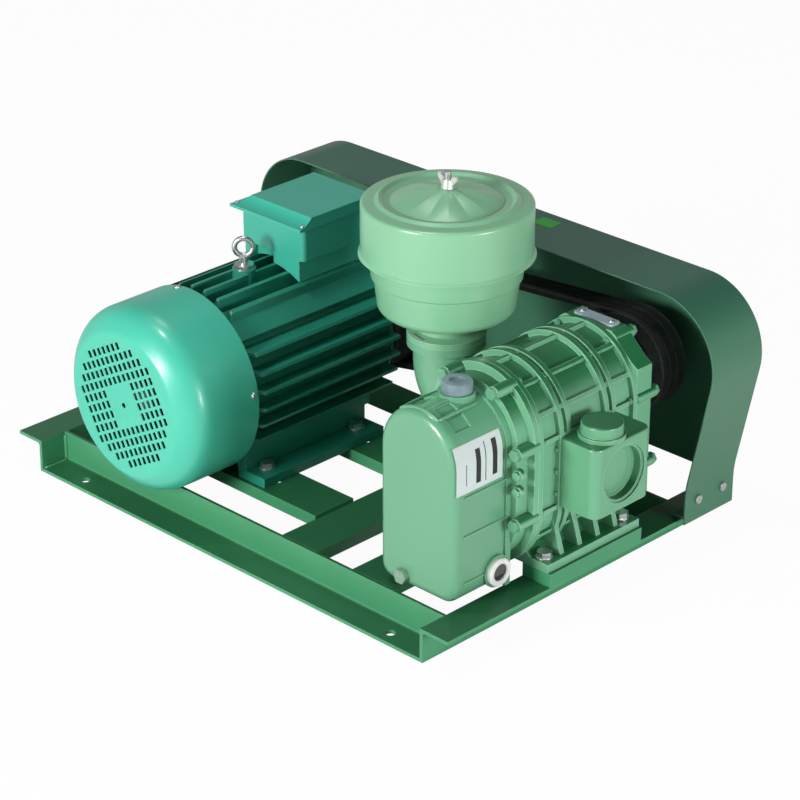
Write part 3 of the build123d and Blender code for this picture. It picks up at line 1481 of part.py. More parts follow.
def guard_outline(inset, floor):
    """Outline of the guard: level top, a large round each side and a necked right leg."""
    left_radius = guard_left_radius
    right_radius = guard_right_radius
    left_centre = (guard_left_x + left_radius, guard_top - left_radius)
    right_centre = (guard_right_x - right_radius, guard_top - right_radius)
    neck = radians(guard_neck_angle)
    slope = (
        right_centre[0] + right_radius * cos(neck)
        - guard_leg_x - guard_neck_radius * (1 - cos(neck))
    ) / sin(neck)
    leg_top = (
        right_centre[1] - right_radius * sin(neck) - slope * cos(neck) - guard_neck_radius * sin(neck)
    )
    leg_centre = (guard_leg_x + guard_neck_radius, leg_top)
    leg_x = guard_leg_x - inset
    with BuildLine() as outline:
        left = CenterArc(left_centre, left_radius - inset, 180, -90)
        right = CenterArc(right_centre, right_radius - inset, 90, -90 - guard_neck_angle)
        knee = CenterArc(leg_centre, guard_neck_radius + inset, 180 - guard_neck_angle, guard_neck_angle)
        Line(left @ 1, right @ 0)
        Line(right @ 1, knee @ 0)
        Polyline(knee @ 1, (leg_x, floor), (guard_left_x + inset, floor), left @ 0)
    return outline.line


# Guard brackets: short angles that stand on the side rails inside the guard's legs.
guard_seats = ((guard_left_x + guard_sheet, 1), (guard_leg_x - guard_sheet, -1))
bracket_start = guard_y + bracket_setback
bracket_length = guard_width - 2 * bracket_setback
guard_bolt_z = angle_leg + bracket_height - bracket_bolt_drop
guard_bolt_ys = (bracket_start + bracket_bolt_inset, bracket_start + bracket_length - bracket_bolt_inset)
bracket_parts = []
bolts = []
for seat_x, inward in guard_seats:
    with BuildPart() as bracket:
        with BuildSketch(across(seat_x, bracket_start, angle_leg)):
            with Locations((inward * bracket_wall / 2, bracket_height / 2)):
                Rectangle(bracket_wall, bracket_height)
            with Locations((inward * bracket_foot / 2, bracket_wall / 2)):
                Rectangle(bracket_foot, bracket_wall)
        extrude(amount=-bracket_length)
        for bolt_y in guard_bolt_ys:
            with Locations(Location((seat_x, bolt_y, guard_bolt_z), (0, 90, 0))):
                Cylinder(guard_bolt_radius + seat_gap, 4 * bracket_wall, mode=Mode.SUBTRACT)
    bracket_parts.append(bracket.part)
    for bolt_y in guard_bolt_ys:
        place = Plane(
            origin=(seat_x - inward * guard_sheet, bolt_y, guard_bolt_z),
            x_dir=(0, 1, 0),
            z_dir=(-inward, 0, 0),
        )
        bolts.append(hex_bolt(place, guard_bolt_head_radius, guard_bolt_head, guard_bolt_radius,
                              guard_sheet + bracket_wall + 4))
with BuildPart() as guard_brackets:
    add(bracket_parts)
save(guard_brackets.part, "guard_brackets")
with BuildPart() as guard_bolts:
    add(bolts)
save(guard_bolts.part, "guard_bolts")

with BuildPart() as guard_band:
    with BuildSketch(across(0, guard_y, 0)):
        add(guard_outline(0, angle_leg))
        make_face()
    extrude(amount=-guard_width)
    with BuildSketch(across(0, guard_y, 0)):
        add(guard_outline(guard_sheet, angle_leg - 5))
        make_face()
    extrude(amount=-guard_width, mode=Mode.SUBTRACT)
    for seat_x, inward in guard_seats:
        for bolt_y in guard_bolt_ys:
            with Locations(Location((seat_x, bolt_y, guard_bolt_z), (0, 90, 0))):
                Cylinder(guard_bolt_radius + seat_gap, 4 * guard_sheet, mode=Mode.SUBTRACT)
save(guard_band.part, "belt_guard_band")

with BuildPart() as guard_back:
    with BuildSketch(across(0, guard_y + guard_width - guard_sheet, 0)):
        add(guard_outline(guard_sheet, guard_back_floor))
        make_face()
    extrude(amount=-guard_sheet)
save(guard_back.part, "belt_guard_back")
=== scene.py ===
"""Looks of a belt-driven roots vacuum pump set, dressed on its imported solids.

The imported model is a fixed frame: its nodes keep their meshes and get their finishes here, and each
sub-assembly class adds the small pieces that the solids leave out, such as welds, washers, screws and
plates. Lengths are in metres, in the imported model's own frame: +X runs from the motor to the blower,
+Y towards the belt guard and +Z up.
"""

from __future__ import annotations

import logging
import math
from collections.abc import Iterable, Iterator, Sequence
from dataclasses import dataclass
from enum import Enum
from typing import ClassVar

import bmesh
import bpy
import numpy as np
from mathutils import Matrix, Vector

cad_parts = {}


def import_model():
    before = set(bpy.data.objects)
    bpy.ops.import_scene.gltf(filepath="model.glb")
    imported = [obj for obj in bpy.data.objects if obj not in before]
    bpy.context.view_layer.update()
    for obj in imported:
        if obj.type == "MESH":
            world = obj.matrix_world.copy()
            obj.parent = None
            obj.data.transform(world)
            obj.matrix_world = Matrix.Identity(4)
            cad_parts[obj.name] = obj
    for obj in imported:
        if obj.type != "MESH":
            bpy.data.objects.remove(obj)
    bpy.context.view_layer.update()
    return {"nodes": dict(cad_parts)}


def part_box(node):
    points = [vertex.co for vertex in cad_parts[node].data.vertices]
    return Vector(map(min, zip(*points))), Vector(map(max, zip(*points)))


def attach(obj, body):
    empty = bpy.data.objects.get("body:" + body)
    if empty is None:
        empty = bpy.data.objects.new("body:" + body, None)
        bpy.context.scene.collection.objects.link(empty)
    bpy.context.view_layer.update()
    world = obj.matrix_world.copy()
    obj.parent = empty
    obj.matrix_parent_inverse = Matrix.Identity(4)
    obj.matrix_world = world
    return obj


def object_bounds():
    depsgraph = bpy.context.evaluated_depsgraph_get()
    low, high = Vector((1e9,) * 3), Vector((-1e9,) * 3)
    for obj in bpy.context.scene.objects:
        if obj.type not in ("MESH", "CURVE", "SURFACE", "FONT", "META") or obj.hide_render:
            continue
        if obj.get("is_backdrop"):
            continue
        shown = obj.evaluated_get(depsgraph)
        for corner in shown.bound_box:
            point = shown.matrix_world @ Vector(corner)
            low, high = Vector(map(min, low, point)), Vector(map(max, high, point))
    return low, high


LOG = logging.getLogger("pump_set")
MM = 0.001
SMOOTH_ANGLE = math.radians(34)  # edges sharper than this stay sharp
MERGE = 1e-6  # points of a new mesh closer than this become one
SLIVER = 1e-7  # and its edges shorter than this go
NODE_MERGE = 1e-5  # the same as MERGE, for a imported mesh
BEVEL_SAMPLES = 6
EDGE_RANGE = (0.01, 0.22)  # 1 - cosine of rounded to true normal, over which an edge shows

Colour = tuple[float, float, float]
Point = tuple[float, float, float]
Span = tuple[float, float]

WHITE: Colour = (1.0, 1.0, 1.0)
UP: Point = (0.0, 0.0, 1.0)
ALONG_X: Point = (1.0, 0.0, 0.0)
TO_FRONT: Point = (0.0, -1.0, 0.0)


# ---- shader maths
class Signal:
    """One shader value: wraps an output socket, so that shader maths reads as arithmetic."""

    def __init__(self, sheet: Sheet, socket: bpy.types.NodeSocket) -> None:
        """Keep the sheet and the socket that carries the value."""
        self.sheet = sheet
        self.socket = socket

    def _maths(self, operation: str, *terms: Signal | float, clamp: bool = False) -> Signal:
        """Add one Math node with its operands in order, its result held to 0..1 if clamp is set."""
        settings = {"operation": operation, "use_clamp": clamp}
        return self.sheet.add("Math", settings, dict(enumerate(terms)))

    def __add__(self, other: Signal | float) -> Signal:
        """Sum."""
        return self._maths("ADD", self, other)

    def __radd__(self, other: float) -> Signal:
        """Sum with a number on the left."""
        return self._maths("ADD", other, self)

    def __sub__(self, other: Signal | float) -> Signal:
        """Difference."""
        return self._maths("SUBTRACT", self, other)

    def __rsub__(self, other: float) -> Signal:
        """Difference from a number."""
        return self._maths("SUBTRACT", other, self)

    def __mul__(self, other: Signal | float) -> Signal:
        """Product."""
        return self._maths("MULTIPLY", self, other)

    def clamped(self) -> Signal:
        """The value held between 0 and 1."""
        return self._maths("ADD", self, 0.0, clamp=True)

    def sine(self) -> Signal:
        """The value's sine."""
        return self._maths("SINE", self)

    def bearing(self, other: Signal) -> Signal:
        """Angle of the point (other, self) round the origin."""
        return self._maths("ARCTAN2", self, other)

    def step(self, low: float, high: float) -> Signal:
        """A smooth step: 0 before low, 1 after high and a smooth rise between."""
        settings = {"interpolation_type": "SMOOTHSTEP"}
        return self.sheet.add("MapRange", settings, {0: self, 1: low, 2: high, 3: 0.0, 4: 1.0})


class Sheet:
    """The node tree of one finish, with a Principled shader at its end."""

    def __init__(self, name: str) -> None:
        """Make an empty material of that name."""
        self.material = bpy.data.materials.new(name)
        self.material.use_nodes = True
        self.tree = self.material.node_tree
        self.tree.nodes.clear()
        self.output = self.tree.nodes.new("ShaderNodeOutputMaterial")
        self.shader = self.tree.nodes.new("ShaderNodeBsdfPrincipled")
        self.paint_out = Signal(self, self.shader.outputs[0])
        self.close(self.paint_out)
        self.place = self.add("TexCoord", output="Object")

    def add(
        self,
        kind: str,
        settings: dict[str, object] | None = None,
        values: dict[int | str, object] | None = None,
        output: int | str = 0,
    ) -> Signal:
        """Add one node.

        Args:
            kind: the node's type, after its ShaderNode prefix.
            settings: its properties, set before its inputs.
            values: its inputs by name or number, as signals or constants.
            output: the output to return.
        """
        node = self.tree.nodes.new("ShaderNode" + kind)
        for key, value in (settings or {}).items():
            setattr(node, key, value)
        for key, value in (values or {}).items():
            self.feed(node.inputs[key], value)
        return Signal(self, node.outputs[output])

    def close(self, surface: Signal) -> None:
        """Make one shader the material's surface."""
        self.tree.links.new(surface.socket, self.output.inputs[0])

    def feed(self, socket: bpy.types.NodeSocket, value: object) -> None:
        """Link a signal to a socket, or set the socket's own value."""
        if isinstance(value, Signal):
            self.tree.links.new(value.socket, socket)
        elif isinstance(value, tuple) and socket.type == "RGBA":
            socket.default_value = (*value, 1.0)
        else:
            socket.default_value = value

    def noise(
        self, size: float, detail: float, roughness: float, stretch: Point = (1.0, 1.0, 1.0)
    ) -> Signal:
        """Cloudy noise round 0.5 on the piece.

        Args:
            size: the clouds' size in metres.
            detail: octaves of finer clouds.
            roughness: how strong the finer octaves are.
            stretch: scale of the pattern along each axis, below 1 to draw it out.
        """
        place = self.add("Mapping", {}, {"Vector": self.place, "Scale": stretch})
        values = {"Vector": place, "Scale": 1.0 / size, "Detail": detail, "Roughness": roughness}
        return self.add("TexNoise", {}, values)

    def upward(self) -> Signal:
        """How far the surface faces up: 1 on a level top, 0 on a wall, -1 underneath."""
        normal = self.add("NewGeometry", output="Normal")
        return self.add("SeparateXYZ", {}, {0: normal}, "Z")

    def rounded(self, radius: float) -> Signal:
        """The normal that the surface would have with its edges rounded to a radius in metres."""
        return self.add("Bevel", {"samples": BEVEL_SAMPLES}, {"Radius": radius})

    def edges(self, normal: Signal) -> Signal:
        """How near an edge the surface is: 0 on a flat, towards 1 where the rounded normal leaves it."""
        true_normal = self.add("NewGeometry", output="Normal")
        settings = {"operation": "DOT_PRODUCT"}
        cosine = self.add("VectorMath", settings, {0: normal, 1: true_normal}, "Value")
        return (1.0 - cosine).step(*EDGE_RANGE)

    def blend(self, mask: Signal | float, low: object, high: object) -> Signal:
        """Mix two colours: low where the mask is 0, high where it is 1.

        Of the Mix node's inputs, 0 is the factor and 6 and 7 are the colours; output 2 is the colour.
        """
        return self.add("Mix", {"data_type": "RGBA"}, {0: mask, 6: low, 7: high}, 2)

    def bump(self, height: Signal, depth: float, normal: Signal | None = None) -> Signal:
        """The normal of a relief: its height times its depth in metres, standing on a normal."""
        values: dict[int | str, object] = {"Height": height, "Distance": depth, "Strength": 1.0}
        if normal is not None:
            values["Normal"] = normal
        return self.add("Bump", {}, values)

    def finish(self, **values: object) -> bpy.types.Material:
        """Feed the shader's sockets, named with underscores for spaces, and return the material."""
        for key, value in values.items():
            self.feed(self.shader.inputs[key.replace("_", " ")], value)
        return self.material


def paler(colour: Colour, gain: float, lift: float) -> Colour:
    """A paler colour: gain * value + lift in each channel, at most 1."""
    return tuple(min(1.0, gain * value + lift) for value in colour)


# ---- finishes
@dataclass(frozen=True)
class Enamel:
    """Sprayed enamel on sheet steel or on a casting."""

    name: str
    colour: Colour
    deep_and_shade: Colour  # the colour of the deeper clouds and speckle, and of the painted shade on level tops
    roughness: float = 0.34
    coat: float = 0.25
    grain: float = 0.0  # depth of the casting's grain under the paint
    edge_radius: float = 1.2 * MM
    edge_light: float = 0.45  # how much paler the paint is painted on edges, partly as wear and partly as a painted highlight
    top_shade: float = 0.55  # how much painted shade deepens the colour on level tops
    top_shade_range: Span = (0.35, 0.95)  # upward facing over which the painted shade deepens

    cloud_size: float = 160 * MM
    cloud_range: Span = (0.25, 0.8)
    cloud_depth: float = 0.18  # how much deeper the colour is in clouds
    speckle_size: float = 3 * MM
    speckle_depth: float = 0.06
    pale_edge_range: Span = (0.2, 0.55)  # speckle over which an edge is painted paler, partly as wear and partly as a painted highlight
    edge_colour: Span = (1.5, 0.16)  # gain and lift of the paler edge, which is partly wear and partly a painted highlight
    peel_size: float = 5 * MM  # orange peel
    peel_depth: float = 0.03 * MM
    grain_size: float = 1.4 * MM
    swell_size: float = 14 * MM  # the casting's slow waves
    swell: float = 2.0  # and their depth, in grains
    dulling: float = 0.06  # roughness added by clouds and by speckle
    coat_roughness: float = 0.16

    def material(self) -> bpy.types.Material:
        """Build the enamel: clouds and speckle of a deeper tone, painted shade that deepens level tops,
        and edges painted paler, partly as wear and partly as a painted highlight.
        """
        sheet = Sheet(self.name)
        normal = sheet.rounded(self.edge_radius)
        edge = sheet.edges(normal)
        clouds = sheet.noise(self.cloud_size, 2.0, 0.5).step(*self.cloud_range)
        speckle = sheet.noise(self.speckle_size, 2.0, 0.6)
        # painted shade: level tops get the deeper colour
        level = sheet.upward().step(*self.top_shade_range) * self.top_shade
        # mask of the deeper colour: random clouds and speckle, plus the painted shade on level tops
        coat = (clouds * self.cloud_depth + speckle * self.speckle_depth + level).clamped()
        paint = sheet.blend(coat, self.colour, self.deep_and_shade)
        # edges painted paler: partly worn paint, partly a painted highlight
        worn_and_highlit = (edge * speckle.step(*self.pale_edge_range) * self.edge_light).clamped()
        paint = sheet.blend(worn_and_highlit, paint, paler(self.colour, *self.edge_colour))
        relief = sheet.noise(self.peel_size, 1.0, 0.4) * self.peel_depth
        if self.grain:
            relief = relief + sheet.noise(self.grain_size, 3.0, 0.65) * self.grain
            relief = relief + sheet.noise(self.swell_size, 2.0, 0.5) * (self.swell * self.grain)
        rough = self.roughness + clouds * self.dulling + speckle * self.dulling
        return sheet.finish(
            Base_Color=paint,
            Roughness=rough.clamped(),
            Normal=sheet.bump(relief, 1.0, normal),
            Coat_Weight=self.coat,
            Coat_Roughness=self.coat_roughness,
            Specular_IOR_Level=0.5,
        )


@dataclass(frozen=True)
class BareMetal:
    """Plated, ground or cast metal without paint."""

    name: str
    colour: Colour
    shade: Colour  # the colour of its duller patches
    roughness: float = 0.3
    metallic: float = 1.0
    coat: float = 0.0
    stretch: Point = (1.0, 1.0, 1.0)  # of the grain
    patch_size: float = 9 * MM
    patch_detail: float = 0.6
    patch_range: Span = (0.35, 0.7)
    shading: Span = (0.7, 0.2)  # how far patches and grain go to the shade
    dulling: Span = (0.14, 0.06)  # roughness added by patches and by grain
    grain_size: float = 0.8 * MM
    grain_depth: float = 0.02 * MM
    edge_radius: float = 0.5 * MM
    edge_colour: Span = (1.25, 0.05)  # gain and lift of the bright edge
    edge_light: float = 0.5
    edge_polish: float = 0.08  # roughness taken off on edges

    def material(self) -> bpy.types.Material:
        """Build the finish: patches of the second tone, fine grain and bright edges."""
        sheet = Sheet(self.name)
        normal = sheet.rounded(self.edge_radius)
        edge = sheet.edges(normal)
        patches = sheet.noise(self.patch_size, 3.0, self.patch_detail).step(*self.patch_range)
        grain = sheet.noise(self.grain_size, 2.0, 0.6, self.stretch)
        dull = (patches * self.shading[0] + grain * self.shading[1]).clamped()
        tone = sheet.blend(dull, self.colour, self.shade)
        tone = sheet.blend(edge * self.edge_light, tone, paler(self.colour, *self.edge_colour))
        rough = self.roughness + patches * self.dulling[0] + grain * self.dulling[1]
        return sheet.finish(
            Base_Color=tone,
            Roughness=(rough - edge * self.edge_polish).clamped(),
            Metallic=self.metallic,
            Normal=sheet.bump(grain, self.grain_depth, normal),
            Coat_Weight=self.coat,
        )


@dataclass(frozen=True)
class Moulding(BareMetal):
    """Moulded plastic or rubber: faint flow clouds, a fine eroded grain and rubbed edges."""

    metallic: float = 0.0
    patch_size: float = 16 * MM
    patch_detail: float = 0.5
    patch_range: Span = (0.3, 0.7)
    shading: Span = (0.8, 0.0)
    dulling: Span = (0.0, 0.1)
    grain_size: float = 0.6 * MM
    grain_depth: float = 0.04 * MM
    edge_radius: float = 0.6 * MM
    edge_colour: Span = (1.3, 0.03)
    edge_light: float = 0.4


@dataclass(frozen=True)
class OilGlass:
    """The dark oil behind a sight glass."""

    name: str = "sight_glass"
    colour: Colour = (0.016, 0.020, 0.020)
    shade: Colour = (0.035, 0.040, 0.036)
    cloud_size: float = 6 * MM
    cloud_range: Span = (0.35, 0.65)
    roughness: float = 0.06
    coat_roughness: float = 0.03

    def material(self) -> bpy.types.Material:
        """Build near-black glass with a smooth coat and faint clouds in the oil."""
        sheet = Sheet(self.name)
        oil = sheet.noise(self.cloud_size, 2.0, 0.5).step(*self.cloud_range)
        return sheet.finish(
            Base_Color=sheet.blend(oil, self.colour, self.shade),
            Roughness=self.roughness,
            Coat_Weight=1.0,
            Coat_Roughness=self.coat_roughness,
        )


@dataclass(frozen=True)
class FilterPaper:
    """Pleated paper of the hidden filter element."""

    name: str = "filter_paper"
    pleats: int = 90
    pleat_depth: float = 0.8 * MM
    # the pleats' valleys, darkened as painted shade
    valley_shade: Colour = (0.42, 0.38, 0.27)
    ridge: Colour = (0.78, 0.75, 0.62)
    roughness: float = 0.9

    def material(self) -> bpy.types.Material:
        """Build cream paper whose bump has one ridge per pleat round the element's axis, its colour
        painted darker in the valleys as shade.
        """
        sheet = Sheet(self.name)
        low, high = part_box("filter_element")
        centre = (low + high) / 2
        settings = {"Vector": sheet.place, "Location": (-centre.x, -centre.y, 0.0)}
        local = sheet.add("Mapping", {}, settings)
        x = sheet.add("SeparateXYZ", {}, {0: local}, "X")
        y = sheet.add("SeparateXYZ", {}, {0: local}, "Y")
        wave = (y.bearing(x) * float(self.pleats)).sine()
        # painted shade: the colour darkens from each ridge into its valley
        tone = sheet.blend(wave * 0.5 + 0.5, self.valley_shade, self.ridge)
        return sheet.finish(
            Base_Color=tone, Roughness=self.roughness, Normal=sheet.bump(wave, self.pleat_depth)
        )


CASTING_GRAIN = 0.05 * MM
CAST_EDGE = 1.8 * MM


class Finish(Enum):
    """Every finish of the set, named for the pieces that wear it."""

    FRAME = Enamel(
        "frame_paint", (0.060, 0.300, 0.140), (0.014, 0.110, 0.042), 0.36, 0.2, top_shade=0.85
    )
    COWL = Enamel("cowl_paint", (0.065, 0.520, 0.370), (0.035, 0.330, 0.240), 0.30, 0.3, top_shade=0.3)
    # motor paint whose base colour is deepened as painted shade on the finned frame and shields
    MOTOR = Enamel(
        "motor_paint", (0.017, 0.250, 0.172), (0.010, 0.160, 0.115), 0.34, 0.3, grain=0.06 * MM,
        top_shade=0.0,
    )
    TERMINAL = Enamel(
        "terminal_paint", (0.045, 0.430, 0.315), (0.030, 0.320, 0.235), 0.32, 0.3, top_shade=0.4
    )
    BLOWER = Enamel(
        "blower_paint", (0.170, 0.440, 0.265), (0.016, 0.140, 0.050), 0.28, 0.45, CASTING_GRAIN,
        CAST_EDGE, edge_light=1.1, top_shade=1.0, top_shade_range=(0.25, 0.75),
    )
    GEAR_CASE = Enamel(
        "gear_case_paint", (0.130, 0.355, 0.210), (0.060, 0.270, 0.130), 0.26, 0.5, CASTING_GRAIN,
        edge_light=0.9,
    )
    BOX = Enamel(
        "box_paint", (0.135, 0.380, 0.215), (0.016, 0.130, 0.048), 0.30, 0.4, CASTING_GRAIN,
        CAST_EDGE, edge_light=1.0, top_shade=1.0, top_shade_range=(0.30, 0.85),
    )
    FILTER = Enamel(
        "filter_paint", (0.205, 0.465, 0.275), (0.190, 0.450, 0.270), 0.26, 0.45, edge_light=0.8,
        top_shade=0.1,
    )
    GUARD = Enamel(
        "guard_paint", (0.052, 0.175, 0.100), (0.020, 0.105, 0.064), 0.36, 0.25, top_shade=0.85
    )
    PLATE = Enamel(
        "rating_plate", (0.60, 0.68, 0.67), (0.50, 0.58, 0.57), 0.3, 0.4, edge_light=0.1, top_shade=0.0
    )
    INK = Enamel(
        "plate_ink", (0.012, 0.012, 0.014), (0.02, 0.02, 0.022), 0.5, 0.0, edge_light=0.0, top_shade=0.0
    )
    STICKER = Enamel(
        "green_sticker", (0.006, 0.42, 0.014), (0.005, 0.32, 0.010), 0.4, 0.2, edge_light=0.1
    )
    TAG = Enamel("grey_tag", (0.33, 0.42, 0.47), (0.26, 0.34, 0.39), 0.35, 0.2)
    ZINC = BareMetal("zinc", (0.72, 0.74, 0.74), (0.50, 0.53, 0.54), 0.26)
    WING_NUT = BareMetal("wing_nut_zinc", (0.86, 0.87, 0.84), (0.66, 0.68, 0.66), 0.34, 0.75)
    DRAIN = BareMetal("drain_zinc", (0.30, 0.44, 0.34), (0.16, 0.30, 0.20), 0.34, 0.35)
    SHAFT = BareMetal(
        "shaft_steel", (0.56, 0.56, 0.57), (0.42, 0.42, 0.43), 0.26, stretch=(8.0, 1.0, 8.0)
    )
    BEARING = BareMetal("bearing_steel", (0.68, 0.68, 0.70), (0.55, 0.55, 0.57), 0.16)
    LAMINATION = BareMetal("lamination_steel", (0.34, 0.35, 0.37), (0.22, 0.23, 0.25), 0.5)
    ROTOR = BareMetal("rotor_iron", (0.32, 0.32, 0.33), (0.22, 0.22, 0.23), 0.38)
    GEAR = BareMetal("gear_steel", (0.46, 0.46, 0.45), (0.32, 0.32, 0.31), 0.24)
    PULLEY = BareMetal("pulley_iron", (0.13, 0.14, 0.14), (0.08, 0.085, 0.085), 0.46, 0.85)
    BELT = Moulding("belt_rubber", (0.022, 0.022, 0.023), (0.035, 0.035, 0.035), 0.62)
    FAN = Moulding("fan_plastic", (0.020, 0.021, 0.024), (0.032, 0.033, 0.035), 0.55)
    CAP = Moulding("cap_plastic", (0.195, 0.275, 0.305), (0.130, 0.200, 0.225), 0.42, coat=0.1)
    SIGHT_RING = Moulding("sight_ring_plastic", (0.80, 0.81, 0.78), (0.70, 0.71, 0.68), 0.3, coat=0.4)
    GLAND = Moulding("gland_plastic", (0.025, 0.027, 0.028), (0.04, 0.042, 0.043), 0.5)
    SIGHT_GLASS = OilGlass()
    PAPER = FilterPaper()


# ---- surfaces
@dataclass(frozen=True)
class Stand:
    """A local frame for a small piece: its origin, its outward axis and a sideways axis."""

    origin: Point
    out: Point = UP
    side: Point = ALONG_X

    def to_set(self, local: np.ndarray) -> np.ndarray:
        """Carry points (..., 3) from this frame to the set's frame.

        Each point is origin + x * side + y * (out x side) + z * out, with unit axes.
        """
        out = np.array(self.out, float) / np.linalg.norm(self.out)
        side = np.array(self.side, float)
        side = side - out * (side @ out)
        side = side / np.linalg.norm(side)
        return np.array(self.origin) + local @ np.stack([side, np.cross(out, side), out])


def sheet_mesh(
    name: str, points: np.ndarray, wrap: bool = True, smooth: float = SMOOTH_ANGLE
) -> bpy.types.Object:
    """Turn a grid of points into a closed mesh object.

    Neighbouring points (i, j), (i, j + 1), (i + 1, j + 1), (i + 1, j) make one face each; with wrap,
    the last column joins the first. Points that meet are merged, so a row gathered in one point closes
    the surface with triangles. Normals are turned outwards.

    Args:
        name: the object's name.
        points: array of shape (rows, columns, 3).
        wrap: whether each row is a ring.
        smooth: edges sharper than this angle stay sharp.

    Returns:
        The object, at the origin.
    """
    rows, columns = points.shape[:2]
    index = np.arange(rows * columns).reshape(rows, columns)
    right = np.roll(index, -1, axis=1)
    if not wrap:
        index, right = index[:, :-1], right[:, :-1]
    faces = np.stack([index[:-1], right[:-1], right[1:], index[1:]], axis=-1).reshape(-1, 4)
    mesh = bpy.data.meshes.new(name)
    mesh.from_pydata(points.reshape(-1, 3).tolist(), [], faces.tolist())
    work = bmesh.new()
    work.from_mesh(mesh)
    bmesh.ops.remove_doubles(work, verts=work.verts, dist=MERGE)
    bmesh.ops.dissolve_degenerate(work, edges=work.edges, dist=SLIVER)
    bmesh.ops.recalc_face_normals(work, faces=work.faces)
    work.to_mesh(mesh)
    work.free()
    mesh.shade_smooth()
    mesh.set_sharp_from_angle(angle=smooth)
    piece = bpy.data.objects.new(name, mesh)
    bpy.context.scene.collection.objects.link(piece)
    return piece


def ring_angles(count: int) -> np.ndarray:
    """Angles of count points evenly round a circle."""
    return np.arange(count) * (2 * math.pi / count)


def oval(count: int, height: float = 1.0) -> np.ndarray:
    """Section (count, 2) of an upright oval of half width 1."""
    angle = ring_angles(count)
    return np.stack([np.cos(angle), height * np.sin(angle)], -1)


def turned(profile: Sequence[tuple[float, float]], stand: Stand, count: int) -> np.ndarray:
    """A turned surface: profile point (r, z) at angle a lies at (r cos a, r sin a, z).

    The profile starts and ends on the axis for a closed piece; count is the points round each ring.
    """
    outline = np.array(profile, float)
    angle = ring_angles(count)
    radius, height = outline[:, :1], outline[:, 1:]
    local = np.stack([radius * np.cos(angle), radius * np.sin(angle), height + 0 * angle], axis=-1)
    return stand.to_set(local)


def hexagonal(radius: float, height: float, stand: Stand, crown: float = 0.12) -> np.ndarray:
    """A hexagon head with a chamfered crown.

    A point at angle a lies at radius r cos 30 / cos(a'), where a' is a folded into plus or minus 30
    degrees. The crown's ring is the smaller of that and 0.88 of the corners' radius r; the chamfer's
    height is the crown's share of the head's.
    """
    angle = ring_angles(72)
    folded = np.mod(angle + math.pi / 6, math.pi / 3) - math.pi / 6
    flat = radius * math.cos(math.pi / 6) / np.cos(folded)
    chamfer = 0.88 * radius
    rings = []
    for reach, level in (
        (0 * flat, 0.0), (flat, 0.0), (flat, 1 - crown), (np.minimum(flat, chamfer), 1.0), (0 * flat, 1.0)
    ):
        ring = [reach * np.cos(angle), reach * np.sin(angle), 0 * angle + level * height]
        rings.append(np.stack(ring, -1))
    return stand.to_set(np.array(rings))


def carried(path: np.ndarray, section: np.ndarray, size: np.ndarray) -> np.ndarray:
    """A section carried along a path, its size changing on the way, gathered to a point at each end.

    The section's first axis is sideways and its second is up; ring i is path[i] + size[i] * section.
    The sideways axis is the cross product of the path's direction and the vertical, or of the
    direction and X where the path is upright.
    """
    direction = np.gradient(path, axis=0)
    direction /= np.linalg.norm(direction, axis=1, keepdims=True)
    upright = np.abs(direction[:, 2:]) > 0.9
    side = np.cross(direction, np.where(upright, np.array([ALONG_X]), np.array([UP])))
    side /= np.linalg.norm(side, axis=1, keepdims=True)
    up = np.cross(side, direction)
    across = section[None, :, :1] * side[:, None, :]
    rings = path[:, None, :] + size[:, None, None] * (across + section[None, :, 1:] * up[:, None, :])
    ends = np.repeat(path[[0, -1]][:, None, :], section.shape[0], axis=1)
    return np.concatenate([ends[:1], rings, ends[1:]])


def rounded_outline(width: float, height: float, corner: float, steps: int = 8) -> np.ndarray:
    """Outline of a rounded rectangle: four quarter circles of the corner's radius, joined by straights."""
    quarter = np.linspace(0, math.pi / 2, steps)
    parts = []
    for turn, (sx, sy) in enumerate(((1, 1), (-1, 1), (-1, -1), (1, -1))):
        angle = quarter + turn * math.pi / 2
        centre = np.array([sx * (width / 2 - corner), sy * (height / 2 - corner)])
        parts.append(centre + corner * np.stack([np.cos(angle), np.sin(angle)], -1))
    return np.concatenate(parts)


def slab(outline: np.ndarray, thickness: float, stand: Stand, edge: float = 0.0) -> np.ndarray:
    """A plate of any outline: rings at the foot, the wall's top and the face, gathered in the middle.

    Args:
        outline: (n, 2) points round the plate.
        thickness: its thickness along the frame's outward axis.
        stand: the frame it lies in.
        edge: how much the face is drawn in by the bevel round it.
    """
    centre = outline.mean(axis=0)
    reach = np.linalg.norm(outline - centre, axis=1).min()
    inner = centre + (outline - centre) * (1 - edge / reach)
    flat = np.repeat(centre[None, :], len(outline), axis=0)
    levels = (
        (flat, 0.0), (outline, 0.0), (outline, thickness - edge), (inner, thickness), (flat, thickness)
    )
    rings = [np.concatenate([ring, np.full((len(ring), 1), level)], axis=1) for ring, level in levels]
    return stand.to_set(np.array(rings))


def domed(radius: float, height: float, stand: Stand) -> np.ndarray:
    """A domed screw head: a quarter ellipse, r = radius cos t, on a wall of 0.3 of its height."""
    wall = 0.3 * height
    turn = np.linspace(0, math.pi / 2, 6)
    dome = [(radius * math.cos(t), wall + (height - wall) * math.sin(t)) for t in turn]
    return turned([(0.0, 0.0), (radius, 0.0), *dome], stand, 28)


def islands(node: str) -> Iterator[np.ndarray]:
    """Points (n, 3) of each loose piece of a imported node, in the set's frame."""
    holder = frame["nodes"][node]
    work = bmesh.new()
    work.from_mesh(holder.data)
    bmesh.ops.remove_doubles(work, verts=work.verts, dist=NODE_MERGE)
    waiting = dict.fromkeys(work.verts)  # in the mesh's own order, so that each run is the same
    while waiting:
        edge_of_walk = [next(iter(waiting))]
        del waiting[edge_of_walk[0]]
        found = []
        while edge_of_walk:
            corner = edge_of_walk.pop()
            found.append(holder.matrix_world @ corner.co)
            for edge in corner.link_edges:
                other = edge.other_vert(corner)
                if other in waiting:
                    del waiting[other]
                    edge_of_walk.append(other)
        yield np.array(found)
    work.free()


